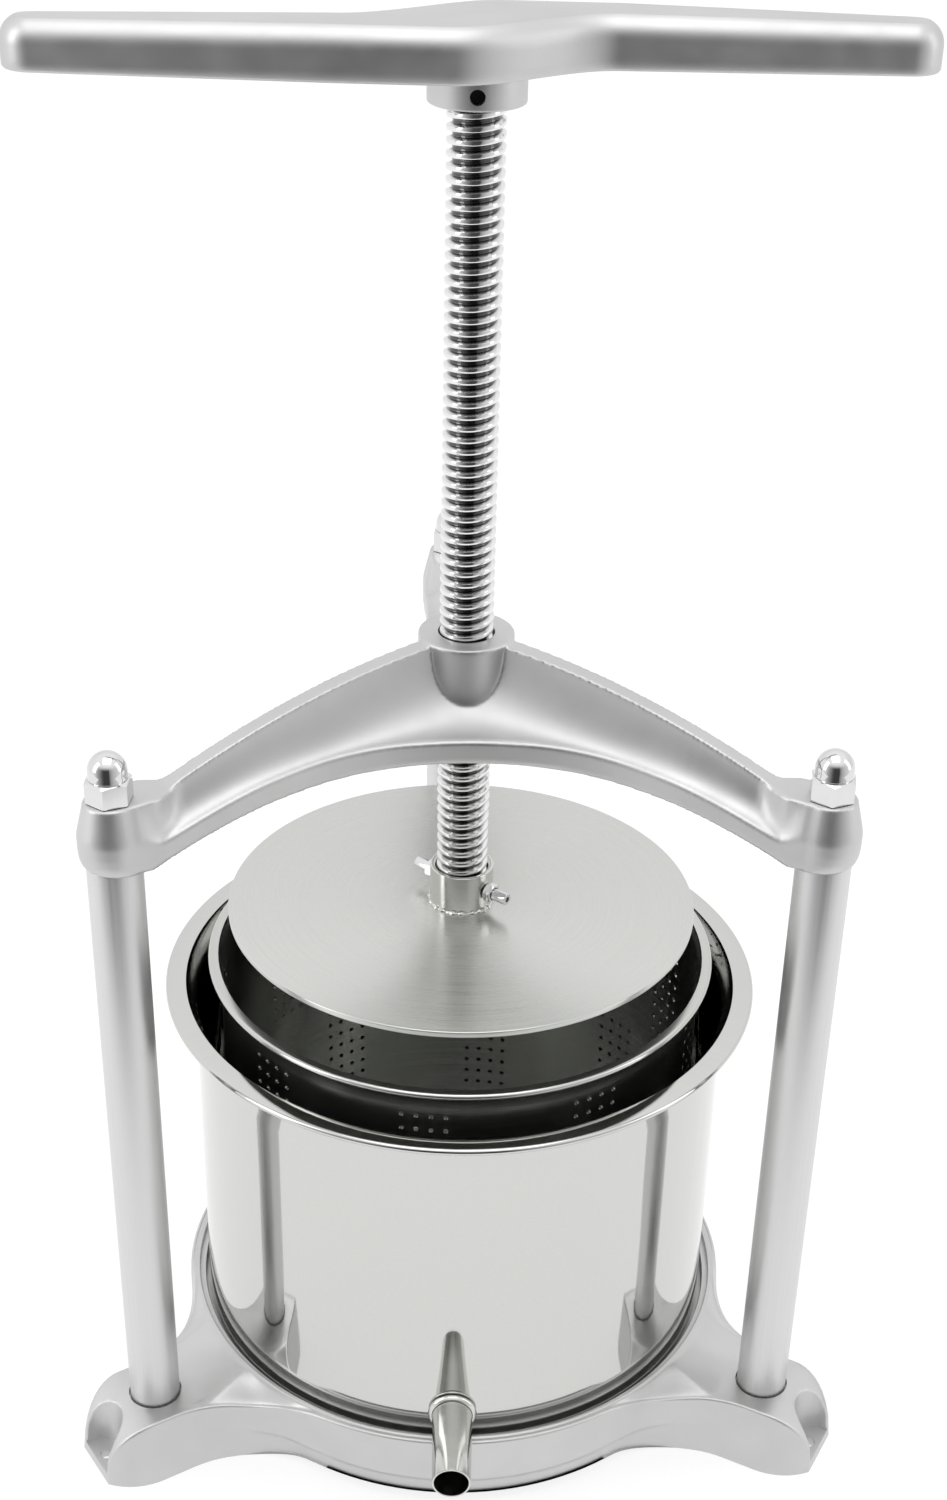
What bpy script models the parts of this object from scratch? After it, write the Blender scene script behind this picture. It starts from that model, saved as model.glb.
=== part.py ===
"""Cheese press: three-lobed base, three columns, top bridge, screw, handle, plate, pot and basket.

Metres, +Z up. The origin is on the screw's axis, on the surface that the base stands on. The columns
stand at 90, 210 and 330 degrees, and the plate is shown above the basket.
"""

from math import asin, atan2, cos, hypot, pi, radians, sin, sqrt

import bmesh
import bpy
from mathutils import Matrix, Vector

OBJECT = "cheese_press"

# Clearances
GAP = 0.0003            # between pieces that touch on the real object
SCREW_FIT = 0.0003      # radial, screw in bush, socket and handle
ROD_FIT = 0.0005        # radial, tie rod in its holes
ROD_SLACK = 0.0010      # radial, tie rod in its column
DRILL_START = 4.0       # degrees, keeps a drilled hole's corners off the edges of the body

# Columns and tie rods
COLUMN_CIRCLE = 0.1734
COLUMN_ANGLES = {"rear": 90.0, "front_left": 210.0, "front_right": 330.0}
COLUMN_R = 0.0120
COLUMN_LENGTH = 0.3060
ROD_R = 0.0060
ROD_PAST_NUT = 0.0030
NUT_FLATS = 0.0180
NUT_HEIGHT = 0.0100
WASHER_R = 0.0120
WASHER_T = 0.0022
DOME_R = 0.0084
DOME_HEIGHT = 0.0118
CAP_TOP_WALL = 0.0060
CAP_NUT_TURN = -8.0     # degrees from the column's own direction
BOTTOM_NUT_TURN = 7.0

# Base casting
DECK_Z = 0.0340
LIP_Z = 0.0460
SKIRT_Z = 0.0070        # underside of the wall between the feet
RING_WIDTH = 0.0100     # from the pot's side to the top outer edge of the round middle
RING_DRAFT = 0.0050     # how far the wall draws in at its foot, on the ring
NECK_FILLET = 0.0500
LOBE_HALF = 0.0215      # half the width of a foot at deck level
LOBE_DRAFT = 0.0045
FOOT_REACH = 0.2075     # straight outer end of a foot
FOOT_END_HALF = 0.0144
DECK_REACH = 0.1850     # where the deck starts to fall to the foot's end
FOOT_SIDE_REACH = 0.1830  # where a foot's side starts to round in
DECK_END_HALF = 0.0110
EDGE_ROUND = 0.0025
LIP_WIDTH = 0.0014
DECK_SLOPE = 0.0155     # out from the round middle's edge, over which the deck rises to the lip
LEDGE_DROP = 0.0030
LEDGE_WIDTH = 0.0030
WELL_CLEARANCE = 0.0022
WELL_DEPTH = 0.0100
BASE_WALL = 0.0050
BASE_ROOF = 0.0070
CAVITY_END_INSET = 0.0180
CENTRE_BOSS_R = 0.0300
COLUMN_SEAT_DEPTH = 0.0030
COLUMN_SEAT_FIT = 0.0008
PAD_T = 0.0050
POCKET_HALF = 0.0120
POCKET_CENTRE = 0.2045
BOLT_HOLE_R = 0.0031
BOLT_CIRCLE = 0.2016

# Top bridge
BOSS_HEIGHT = 0.0303
BOSS_R = 0.0149
BOSS_TOP_R = 0.0112
BOSS_FOOT_INSET = 0.0016
ARM_FLANGE_HALF = 0.0145
ARM_FLANGE_T = 0.0115
ARM_FLANGE_END_T = 0.0090   # at the boss
ARM_FILLET = 0.1466
ARM_RISE = 0.0160       # underside at the middle over its height at the columns
ARM_START = 0.0400      # radius inside which the underside is level
ARM_LEVEL = 0.0203      # underside at the middle over the columns' tops
ARM_DIP = 0.0060        # how far the underside dips on its last stretch down to the boss's foot
ARM_DIP_START = 0.1050
BOSS_EDGE = 0.0150      # height of the boss's widest part over its foot
RIB_HALF = 0.0042
PLATFORM_LENGTH = 0.0245
NECK_NEAR = 0.0460      # where the arm's flanks start to sweep round to the next arm
HUB_R = 0.0213
HUB_RISE = 0.0660       # hub's top over the columns' tops
RIB_TOP_DROP = 0.0010
HUB_FILLET_DROP = 0.0240
HUB_LID = 0.0050
HUB_ARC_POINTS = 4      # from the rib to the line midway to the next arm
LEVEL_POINTS = 6        # the same on the level middle of the underside
BUSH_WALL = 0.0034
BUSH_FOOT = 0.0168      # bush's foot over the columns' tops

# Screw and handle
SCREW_R = 0.0120
SCREW_CHAMFER = 0.0020
GROOVE_R = 0.0090
GROOVE_HALF = 0.0033
HANDLE_HUB_R = 0.0196
HANDLE_HUB_DROP = 0.0122
HANDLE_BAR_Z = 0.6400
HANDLE_BAR_T = 0.0200
HANDLE_ROUND = 0.0098
HANDLE_EDGE = 0.0006
HANDLE_CAVITY_DRAFT = 0.0030
HANDLE_REACH = 0.1795
HANDLE_ROOT_WIDTH = 0.0340
HANDLE_TIP_WIDTH = 0.0260
HANDLE_TIP_DROP = 0.0015  # how far the top falls from the bends to the tips
HANDLE_ARM_OFFSET = 0.0170
HANDLE_BEND_START = -0.0090  # along the bar, from the screw's axis
HANDLE_BEND_END = 0.0555
HANDLE_WALL = 0.0050
HANDLE_TURN = -4.0      # degrees about the screw
PIN_TURN = -92.0        # degrees, where the handle's cross hole faces
PIN_SHARE = 0.45        # pin's height within the hub's drop
PIN_R = 0.0027
PIN_SINK = 0.0035

# Pressing plate and socket
PLATE_TOP_Z = 0.2647
PLATE_PLAY = 0.0049     # radial, plate in basket
PLATE_T = 0.0030
PLATE_EDGE = 0.0006
SOCKET_WALL = 0.0026
SOCKET_HEIGHT = 0.0192
SOCKET_WELD = 0.0012
RETAINER_Z = 0.0095     # over the plate
RETAINER_R = 0.0028
RETAINER_LENGTH = 0.0175
RETAINER_KEY_R = 0.0013
RETAINER_KEY_DEPTH = 0.0022
LOCK_FLATS = 0.0080
LOCK_HEIGHT = 0.0040
RETAINER_ANGLES = {"right": -40.0, "left": 140.0}

# Pot and basket
RIM_BEAD_R = 0.0016
POT_R = 0.1275
POT_HEIGHT = 0.1882
POT_WALL = 0.0012
POT_RIM_WIDTH = 0.0135
POT_FLARE = 0.0043
POT_CORNER = 0.0060
POT_FLARE_DROP = 0.0095 # height over which the mouth flares
BASKET_PLAY = 0.0128    # radial, basket in pot, outer side to outer side
BASKET_HEIGHT = 0.2005
BASKET_WALL = 0.0010
BASKET_RIM_WIDTH = 0.0056
BASKET_FLARE = 0.0012
BASKET_CORNER = 0.0080
BASKET_FLARE_DROP = 0.0050
SPOUT_TURN = -92.5      # degrees, where the spout points
SPOUT_Z = 0.0568
SPOUT_LENGTH = 0.0455
SPOUT_ROOT_R = 0.0097
SPOUT_MOUTH_R = 0.0089
SPOUT_WALL = 0.0009
COLLAR_R = 0.0116
COLLAR_T = 0.0030

# Worked-out radii
POT_RIM_R = POT_R + POT_RIM_WIDTH
POT_FLARE_R = POT_R + POT_FLARE
BASKET_R = POT_R - BASKET_PLAY
BASKET_RIM_R = BASKET_R + BASKET_RIM_WIDTH
BASKET_FLARE_R = BASKET_R + BASKET_FLARE
PLATE_R = BASKET_R - PLATE_PLAY
WELL_R = POT_R + WELL_CLEARANCE
LEDGE_R = WELL_R + LEDGE_WIDTH
RING_R = POT_R + RING_WIDTH
DECK_FLAT_R = RING_R + DECK_SLOPE
SOCKET_R = SCREW_R + SCREW_FIT + SOCKET_WALL

# Worked-out levels
COLUMN_FOOT_Z = DECK_Z - COLUMN_SEAT_DEPTH + GAP
COLUMN_TOP_Z = COLUMN_FOOT_Z + COLUMN_LENGTH
BOSS_BOTTOM_Z = COLUMN_TOP_Z + GAP
BOSS_TOP_Z = BOSS_BOTTOM_Z + BOSS_HEIGHT
HUB_TOP_Z = COLUMN_TOP_Z + HUB_RISE
ARM_BOTTOM_Z = COLUMN_TOP_Z + ARM_LEVEL
WELL_FLOOR_Z = LIP_Z - WELL_DEPTH
WASHER_TOP_Z = DECK_Z - BASE_ROOF - GAP
NUT_TOP_Z = WASHER_TOP_Z - WASHER_T - GAP
ROD_BOTTOM_Z = NUT_TOP_Z - NUT_HEIGHT - ROD_PAST_NUT
CAP_SEAT_Z = BOSS_TOP_Z + GAP
CAP_TOP_Z = CAP_SEAT_Z + NUT_HEIGHT + DOME_HEIGHT
ROD_TOP_Z = CAP_TOP_Z - CAP_TOP_WALL
HANDLE_HUB_Z = HANDLE_BAR_Z - HANDLE_HUB_DROP
SCREW_TOP_Z = HANDLE_BAR_Z + HANDLE_BAR_T - 2 * HANDLE_WALL
SCREW_FOOT_Z = PLATE_TOP_Z + GAP
POT_FLOOR_Z = WELL_FLOOR_Z + GAP
POT_RIM_Z = POT_FLOOR_Z + POT_HEIGHT
BASKET_FLOOR_Z = POT_FLOOR_Z + POT_WALL + GAP
BASKET_RIM_Z = BASKET_FLOOR_Z + BASKET_HEIGHT

# Surface colours: name, colour, roughness, metallic
CAST = ("cast_aluminium", (0.62, 0.62, 0.62), 0.38, 1.0)
TUBE = ("satin_tube", (0.80, 0.80, 0.80), 0.45, 0.6)
BRIGHT = ("bright_plate", (0.86, 0.86, 0.85), 0.10, 1.0)
MIRROR = ("mirror_steel", (0.82, 0.82, 0.79), 0.06, 1.0)
BRUSHED = ("brushed_steel", (0.66, 0.67, 0.64), 0.30, 1.0)
BRONZE = ("bush_bronze", (0.55, 0.40, 0.20), 0.40, 1.0)
ZINC = ("zinc_steel", (0.55, 0.56, 0.58), 0.35, 1.0)


def empty_scene():
    for item in list(bpy.data.objects):
        bpy.data.objects.remove(item, do_unlink=True)
    for group in list(bpy.data.collections):
        bpy.data.collections.remove(group)


def new_collection(name):
    group = bpy.data.collections.new(name)
    bpy.context.scene.collection.children.link(group)
    return group


empty_scene()
PARTS = new_collection(OBJECT)
CUTTERS = new_collection(OBJECT + "_cutters")


def material_of(finish):
    name, colour, roughness, metallic = finish
    found = bpy.data.materials.get(name)
    if found:
        return found
    made = bpy.data.materials.new(name)
    made.use_nodes = True
    shader = made.node_tree.nodes["Principled BSDF"]
    shader.inputs["Base Color"].default_value = (*colour, 1.0)
    shader.inputs["Roughness"].default_value = roughness
    shader.inputs["Metallic"].default_value = metallic
    return made


def link(name, mesh, finish, location=(0, 0, 0), turn=0.0):
    """Put a mesh into the scene as a named part, shaded smooth except at sharp edges."""
    item = bpy.data.objects.new(name, mesh)
    item.location = location
    item.rotation_euler = (0, 0, radians(turn))
    mesh.materials.append(material_of(finish))
    mesh.shade_smooth()
    mesh.set_sharp_from_angle(angle=radians(35))
    PARTS.objects.link(item)
    return item


def mesh_from(name, work):
    mesh = bpy.data.meshes.new(name)
    bmesh.ops.recalc_face_normals(work, faces=work.faces)
    work.to_mesh(mesh)
    work.free()
    return mesh


def loft_mesh(name, loops):
    """Skin a stack of closed loops that have the same number of points, and cap both ends."""
    work = bmesh.new()
    rows = [[work.verts.new(point) for point in loop] for loop in loops]
    count = len(rows[0])
    for lower, upper in zip(rows, rows[1:]):
        for i in range(count):
            j = (i + 1) % count
            work.faces.new((lower[i], lower[j], upper[j], upper[i]))
    work.faces.new(list(reversed(rows[0])))
    work.faces.new(rows[-1])
    return mesh_from(name, work)


def turned_mesh(name, profile, sides):
    """Turn a profile of (radius, height), outer side first from top to bottom, about Z."""
    points = bpy.data.meshes.new(name)
    closed = profile[0][0] > 0 and profile[-1][0] > 0
    edges = [(i, i + 1) for i in range(len(profile) - 1)]
    if closed:
        edges.append((len(profile) - 1, 0))
    points.from_pydata([(r, 0, z) for r, z in profile], edges, [])
    guide = bpy.data.objects.new(name + "_guide", points)
    CUTTERS.objects.link(guide)
    turn = guide.modifiers.new("turn", "SCREW")
    turn.steps = sides
    turn.render_steps = sides
    turn.use_merge_vertices = True
    turn.merge_threshold = 0.00001
    bpy.context.view_layer.update()
    ready = guide.evaluated_get(bpy.context.evaluated_depsgraph_get())
    mesh = bpy.data.meshes.new_from_object(ready)
    bpy.data.objects.remove(guide, do_unlink=True)
    work = bmesh.new()
    work.from_mesh(mesh)
    bmesh.ops.remove_doubles(work, verts=work.verts, dist=0.00001)
    bmesh.ops.recalc_face_normals(work, faces=work.faces)
    work.to_mesh(mesh)
    work.free()
    mesh.name = name
    return mesh


def turned(name, profile, finish, sides=48, location=(0, 0, 0), turn=0.0):
    return link(name, turned_mesh(name, profile, sides), finish, location, turn)


def tube_profile(outer, inner, bottom, top):
    return [(outer, top), (outer, bottom), (inner, bottom), (inner, top)]


def rod_profile(radius, bottom, top, chamfer=0.0008):
    return [
        (0, top),
        (radius - chamfer, top),
        (radius, top - chamfer),
        (radius, bottom + chamfer),
        (radius - chamfer, bottom),
        (0, bottom),
    ]


def prism_mesh(name, sides, radius, bottom, top, start=0.0):
    work = bmesh.new()
    bmesh.ops.create_cone(
        work,
        cap_ends=True,
        segments=sides,
        radius1=radius,
        radius2=radius,
        depth=top - bottom,
        matrix=Matrix.Translation((0, 0, (bottom + top) / 2)) @ Matrix.Rotation(radians(start), 4, "Z"),
    )
    return mesh_from(name, work)


def cutter(name, mesh, matrix=None):
    item = bpy.data.objects.new(name, mesh)
    if matrix:
        item.matrix_world = matrix
    item.hide_render = True
    item.display_type = "WIRE"
    CUTTERS.objects.link(item)
    return item


def combine(item, tool, operation):
    step = item.modifiers.new(tool.name, "BOOLEAN")
    step.operation = operation
    step.solver = "EXACT"
    step.object = tool
    return step


def cut(item, tool):
    combine(item, tool, "DIFFERENCE")


def drill(item, name, radius, bottom, top, location=(0, 0, 0), sides=24):
    """Cut an upright round hole."""
    mesh = prism_mesh(name, sides, radius, bottom, top, DRILL_START)
    cut(item, cutter(name, mesh, Matrix.Translation(location)))


def polar(radius, degrees, height=0.0):
    return Vector((radius * cos(radians(degrees)), radius * sin(radians(degrees)), height))


def radial_matrix(degrees, height):
    """Matrix that lays a piece made along +Z out along a radius at the given angle."""
    return (
        Matrix.Rotation(radians(degrees), 4, "Z")
        @ Matrix.Translation((0, 0, height))
        @ Matrix.Rotation(radians(90), 4, "Y")
    )


def smooth(value, low, high):
    t = min(1.0, max(0.0, (value - low) / (high - low)))
    return t * t * (3 - 2 * t)


def mix(a, b, t):
    return a + (b - a) * t


def three_lobes(half):
    """Mirror half a lobe's (along, across) points about its axis and repeat it on all three axes.

    The first point lies on the lobe's axis and the last on the line midway to the next lobe.
    """
    whole = [(a, -b) for a, b in reversed(half[1:-1])] + half
    points = []
    for degrees in COLUMN_ANGLES.values():
        c = cos(radians(degrees))
        s = sin(radians(degrees))
        points += [(a * c - b * s, a * s + b * c) for a, b in whole]
    return points


def arc(centre, radius, start, end, count):
    """Points on an arc in degrees, both ends included."""
    steps = [start + (end - start) * i / (count - 1) for i in range(count)]
    return [
        (centre[0] + radius * cos(radians(d)), centre[1] + radius * sin(radians(d)))
        for d in steps
    ]


# ---------------------------------------------------------------- base casting


def foot_half(reach, end_half, tip_start, lobe_half, ring, fillet):
    """Half the outline of the base: foot end, foot side, neck fillet and a share of the ring."""
    across = lobe_half + fillet
    along = sqrt((ring + fillet) ** 2 - across**2)
    tip_start = max(tip_start, along + 0.0004)
    reach_in = reach - tip_start
    drop = lobe_half - end_half
    tip_r = (reach_in**2 + drop**2) / (2 * drop)
    start = asin(max(-1.0, (tip_r - drop) / tip_r)) * 180 / pi
    tip = arc((tip_start, lobe_half - tip_r), tip_r, start, 90, 4)
    ring_start = atan2(across, along) * 180 / pi
    neck = arc((along, across), fillet, 270, 180 + ring_start, 6)
    middle = arc((0, 0), ring, ring_start, 60, 5)
    return [(reach, 0.0)] + tip + neck + middle[1:]


def base_loops():
    """Loops of the base from the centre of its underside, out, over the rim and in to the well."""
    inner = three_lobes(
        foot_half(
            POCKET_CENTRE - POCKET_HALF - BASE_WALL,
            FOOT_END_HALF - BASE_WALL,
            DECK_REACH - CAVITY_END_INSET,
            LOBE_HALF + LOBE_DRAFT - BASE_WALL,
            RING_R - RING_DRAFT - BASE_WALL,
            NECK_FILLET,
        )
    )
    foot = three_lobes(
        foot_half(
            FOOT_REACH,
            FOOT_END_HALF,
            FOOT_SIDE_REACH,
            LOBE_HALF + LOBE_DRAFT,
            RING_R - RING_DRAFT,
            NECK_FILLET,
        )
    )
    deck = three_lobes(
        foot_half(
            DECK_REACH,
            DECK_END_HALF,
            COLUMN_CIRCLE,
            LOBE_HALF,
            RING_R,
            NECK_FILLET,
        )
    )
    angles = [atan2(y, x) for x, y in deck]

    def circle(radius, height):
        return [(radius * cos(a), radius * sin(a), height) for a in angles]

    def off_axis(x, y):
        """Degrees from the nearest lobe's axis."""
        a = (atan2(y, x) * 180 / pi - 90) % 120
        return min(a, 120 - a)

    def skirt(x, y):
        return SKIRT_Z * smooth(off_axis(x, y), 11, 27)

    def rim(x, y):
        return mix(DECK_Z, LIP_Z, smooth(off_axis(x, y), 11, 30))

    def tip_share(x, y):
        return 1 - smooth(off_axis(x, y), 3.5, 8.5)

    roof = DECK_Z - BASE_ROOF
    loops = [
        circle(CENTRE_BOSS_R, 0.0),
        circle(CENTRE_BOSS_R, roof),
        [(x, y, roof) for x, y in inner],
        [(x, y, skirt(x, y)) for x, y in inner],
        [(x, y, skirt(x, y)) for x, y in foot],
    ]
    for level in (0.35, 0.62, 0.80, 0.92):
        loop = []
        for (fx, fy), (dx, dy) in zip(foot, deck):
            share = tip_share(dx, dy)
            top = rim(dx, dy)
            low = skirt(fx, fy)
            if share < 1:
                top -= EDGE_ROUND * (1 - share)
            straight = level
            rounded = 1 - cos(asin(level))
            t = mix(straight, rounded, share)
            loop.append((mix(fx, dx, t), mix(fy, dy, t), mix(low, top, level)))
        loops.append(loop)
    for inset, drop in ((0.0, 1.0), (0.3, 0.3), (1.0, 0.0)):
        loop = []
        for x, y in deck:
            r = hypot(x, y)
            keep = 1 - inset * EDGE_ROUND / r
            loop.append((x * keep, y * keep, rim(x, y) - drop * EDGE_ROUND * (1 - tip_share(x, y))))
        loops.append(loop)
    shelf = []
    for x, y in deck:
        r = hypot(x, y)
        keep = min(DECK_FLAT_R, r - 1.2 * EDGE_ROUND) / r
        shelf.append((x * keep, y * keep, rim(x, y)))
    loops += [
        shelf,
        circle(LEDGE_R + LIP_WIDTH, LIP_Z - 0.0003),
        circle(LEDGE_R + LIP_WIDTH - 0.0004, LIP_Z),
        circle(LEDGE_R, LIP_Z),
        circle(LEDGE_R, LIP_Z - LEDGE_DROP),
        circle(WELL_R, LIP_Z - LEDGE_DROP),
        circle(WELL_R, WELL_FLOOR_Z),
    ]
    return loops


def pocket_loops():
    """Upright slot with a round inner end that opens out through the foot's end."""
    outline = arc((POCKET_CENTRE, 0), POCKET_HALF, 90, 270, 13)
    outline += [(FOOT_REACH + 0.02, -POCKET_HALF), (FOOT_REACH + 0.02, POCKET_HALF)]
    return [[(x, y, z) for x, y in outline] for z in (PAD_T, LIP_Z + 0.01)]


def make_base():
    base = link("base_casting", loft_mesh("base_casting", base_loops()), CAST)
    for name, degrees in COLUMN_ANGLES.items():
        spot = polar(COLUMN_CIRCLE, degrees)
        drill(base, f"rod_hole_{name}", ROD_R + ROD_FIT, 0.010, DECK_Z + 0.01, spot)
        seat = COLUMN_R + COLUMN_SEAT_FIT
        drill(base, f"column_seat_{name}", seat, DECK_Z - COLUMN_SEAT_DEPTH, LIP_Z + 0.01, spot)
        bolt = polar(BOLT_CIRCLE, degrees)
        drill(base, f"bolt_hole_{name}", BOLT_HOLE_R, -0.01, PAD_T + 0.01, bolt, 24)
        pocket = loft_mesh(f"pocket_{name}", pocket_loops())
        place = Matrix.Rotation(radians(degrees), 4, "Z")
        cut(base, cutter(f"pocket_{name}", pocket, place))


# ---------------------------------------------------------------- columns and their fasteners


def bottom_nut(name, spot, turn):
    """A hexagon nut with chamfered corners and a plain bore."""
    top = NUT_TOP_Z
    bottom = top - NUT_HEIGHT
    corner = NUT_FLATS / sqrt(3)
    nut = link(name, prism_mesh(name, 6, corner, bottom, top), ZINC, spot, turn)
    bevel = 0.12 * NUT_FLATS
    cone = [
        (0, top),
        (corner - bevel * 0.62, top),
        (corner + 0.0010, top - bevel * 0.42),
        (corner + 0.0010, bottom + bevel * 0.42),
        (corner - bevel * 0.62, bottom),
        (0, bottom),
    ]
    tool = cutter(name + "_chamfer", turned_mesh(name + "_chamfer", cone, 24), Matrix.Translation(spot))
    combine(nut, tool, "INTERSECT")
    drill(nut, name + "_bore", ROD_R + ROD_FIT, bottom - 0.01, top + 0.01, spot, 16)


def cap_nut(name, spot, turn):
    """A domed nut: hexagon below, dome above, with a blind hole for the rod's end."""
    seat = CAP_SEAT_Z
    hex_top = seat + NUT_HEIGHT
    nut = link(name, prism_mesh(name, 6, NUT_FLATS / sqrt(3), seat, hex_top), BRIGHT, spot, turn)
    corner = NUT_FLATS / sqrt(3)
    bevel = 0.0016
    cone = [
        (0, hex_top + 0.001),
        (corner - bevel, hex_top + 0.001),
        (corner - bevel, hex_top),
        (corner + 0.001, hex_top - bevel),
        (corner + 0.001, seat + 0.0005),
        (corner - 0.0008, seat - 0.001),
        (0, seat - 0.001),
    ]
    tool = cutter(name + "_chamfer", turned_mesh(name + "_chamfer", cone, 24), Matrix.Translation(spot))
    combine(nut, tool, "INTERSECT")
    wall = DOME_HEIGHT - DOME_R
    dome = [(DOME_R * sin(radians(d)), hex_top + wall + DOME_R * cos(radians(d))) for d in range(0, 91, 15)]
    dome[0] = (0, dome[0][1])
    dome += [(DOME_R, hex_top - 0.002), (0, hex_top - 0.002)]
    cap = cutter(name + "_dome", turned_mesh(name + "_dome", dome, 16), Matrix.Translation(spot))
    combine(nut, cap, "UNION")
    drill(nut, name + "_bore", ROD_R + ROD_FIT, seat - 0.01, ROD_TOP_Z + 0.0006, spot, 16)


def make_columns():
    for name, degrees in COLUMN_ANGLES.items():
        spot = polar(COLUMN_CIRCLE, degrees)
        tube = tube_profile(COLUMN_R, ROD_R + ROD_SLACK, COLUMN_FOOT_Z, COLUMN_TOP_Z)
        turned(f"column_{name}", tube, TUBE, 24, spot)
        turned(f"tie_rod_{name}", rod_profile(ROD_R, ROD_BOTTOM_Z, ROD_TOP_Z), ZINC, 16, spot)
        washer = tube_profile(WASHER_R, ROD_R + ROD_FIT, WASHER_TOP_Z - WASHER_T, WASHER_TOP_Z)
        turned(f"bottom_washer_{name}", washer, ZINC, 16, spot)
        bottom_nut(f"bottom_nut_{name}", spot, degrees + BOTTOM_NUT_TURN)
        cap_nut(f"cap_nut_{name}", spot, degrees + CAP_NUT_TURN)


# ---------------------------------------------------------------- top bridge


def arm_half_outlines():
    """Matching half outlines of an arm: the bottom flange's edge and the top rib's edge."""
    boss = arc((COLUMN_CIRCLE, 0), BOSS_R, 0, 90, 4)
    crown = arc((COLUMN_CIRCLE, 0), BOSS_TOP_R, 0, 90, 4)
    tangent = (ARM_FLANGE_HALF + ARM_FILLET) / sqrt(3)
    platform = COLUMN_CIRCLE - PLATFORM_LENGTH
    near = NECK_NEAR
    stations = [COLUMN_CIRCLE - 0.013, platform + 0.004, platform - 0.004]
    stations += [mix(platform - 0.012, near, i / 5) for i in range(6)]
    flange = []
    rib = []
    for s in stations:
        bow = ARM_FLANGE_HALF
        if s < tangent:
            bow = ARM_FLANGE_HALF + ARM_FILLET - sqrt(ARM_FILLET**2 - (tangent - s) ** 2)
        flange.append((s, bow))
        wide = mix(RIB_HALF, BOSS_TOP_R - 0.0012, smooth(s, platform - 0.006, platform + 0.006))
        rib.append((s, wide))
    middle = (ARM_FLANGE_HALF + ARM_FILLET) / sin(radians(60)) - ARM_FILLET
    last = middle * cos(radians(60))
    rib_end = sqrt(HUB_R**2 - RIB_HALF**2)
    start = atan2(RIB_HALF, rib_end) * 180 / pi
    for i in range(1, 6):
        s = mix(near, last, i / 5)
        flange.append((s, ARM_FLANGE_HALF + ARM_FILLET - sqrt(ARM_FILLET**2 - (tangent - s) ** 2)))
    rib.append((mix(near, rib_end, 0.6), RIB_HALF))
    rib += arc((0, 0), HUB_R, start, 60, HUB_ARC_POINTS)
    return boss + flange, crown + rib


def arm_underside(s):
    """Height of the arm's underside at a distance from the screw's axis."""
    span = COLUMN_CIRCLE - ARM_START
    bow = ARM_BOTTOM_Z - ARM_RISE * (max(0.0, s - ARM_START) / span) ** 2
    reach = COLUMN_CIRCLE - COLUMN_R - ARM_DIP_START
    dip = ARM_DIP * (max(0.0, s - ARM_DIP_START) / reach) ** 1.6
    return max(BOSS_BOTTOM_Z, bow - dip)


def flange_top(s):
    return arm_underside(s) + mix(ARM_FLANGE_T, ARM_FLANGE_END_T, smooth(s, ARM_START, COLUMN_CIRCLE))


def boss_share(s):
    """0 along the arm and 1 on the boss, where the sides are plain."""
    return smooth(s, COLUMN_CIRCLE - 0.018, COLUMN_CIRCLE - 0.006)


def flange_edge(s):
    """Height of the flange's top edge, which runs round the boss at its widest part."""
    return mix(flange_top(s), BOSS_BOTTOM_Z + BOSS_EDGE, boss_share(s))


def rib_top(s):
    """Height of the rib along the arm: a bow from the hub's top down to the nut's seat."""
    platform = COLUMN_CIRCLE - PLATFORM_LENGTH
    t = min(1.0, max(0.0, (s - HUB_R) / (platform - HUB_R)))
    crest = HUB_TOP_Z - RIB_TOP_DROP
    return crest - (crest - BOSS_TOP_Z) * (0.36 * t + 0.64 * t * t)


def bridge_across(work, edge, half, left_over):
    """Span each arm from its left edge to its right edge, and return the ring left in the middle."""
    per_arm = len(edge) // 3
    tip = len(half) - 2
    last = len(half) - left_over
    ring = []
    for arm in range(3):
        first = arm * per_arm
        left = [edge[first + tip + k] for k in range(last + 1)]
        right = [edge[first + tip - k] for k in range(last + 1)]
        work.faces.new((left[0], left[1], right[1]))
        for k in range(1, last):
            work.faces.new((left[k], left[k + 1], right[k + 1], right[k]))
        ring += [edge[first + k] for k in range(tip - last + 1)]
        ring += [edge[first + k] for k in range(tip + last, per_arm)]
    return ring


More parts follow.
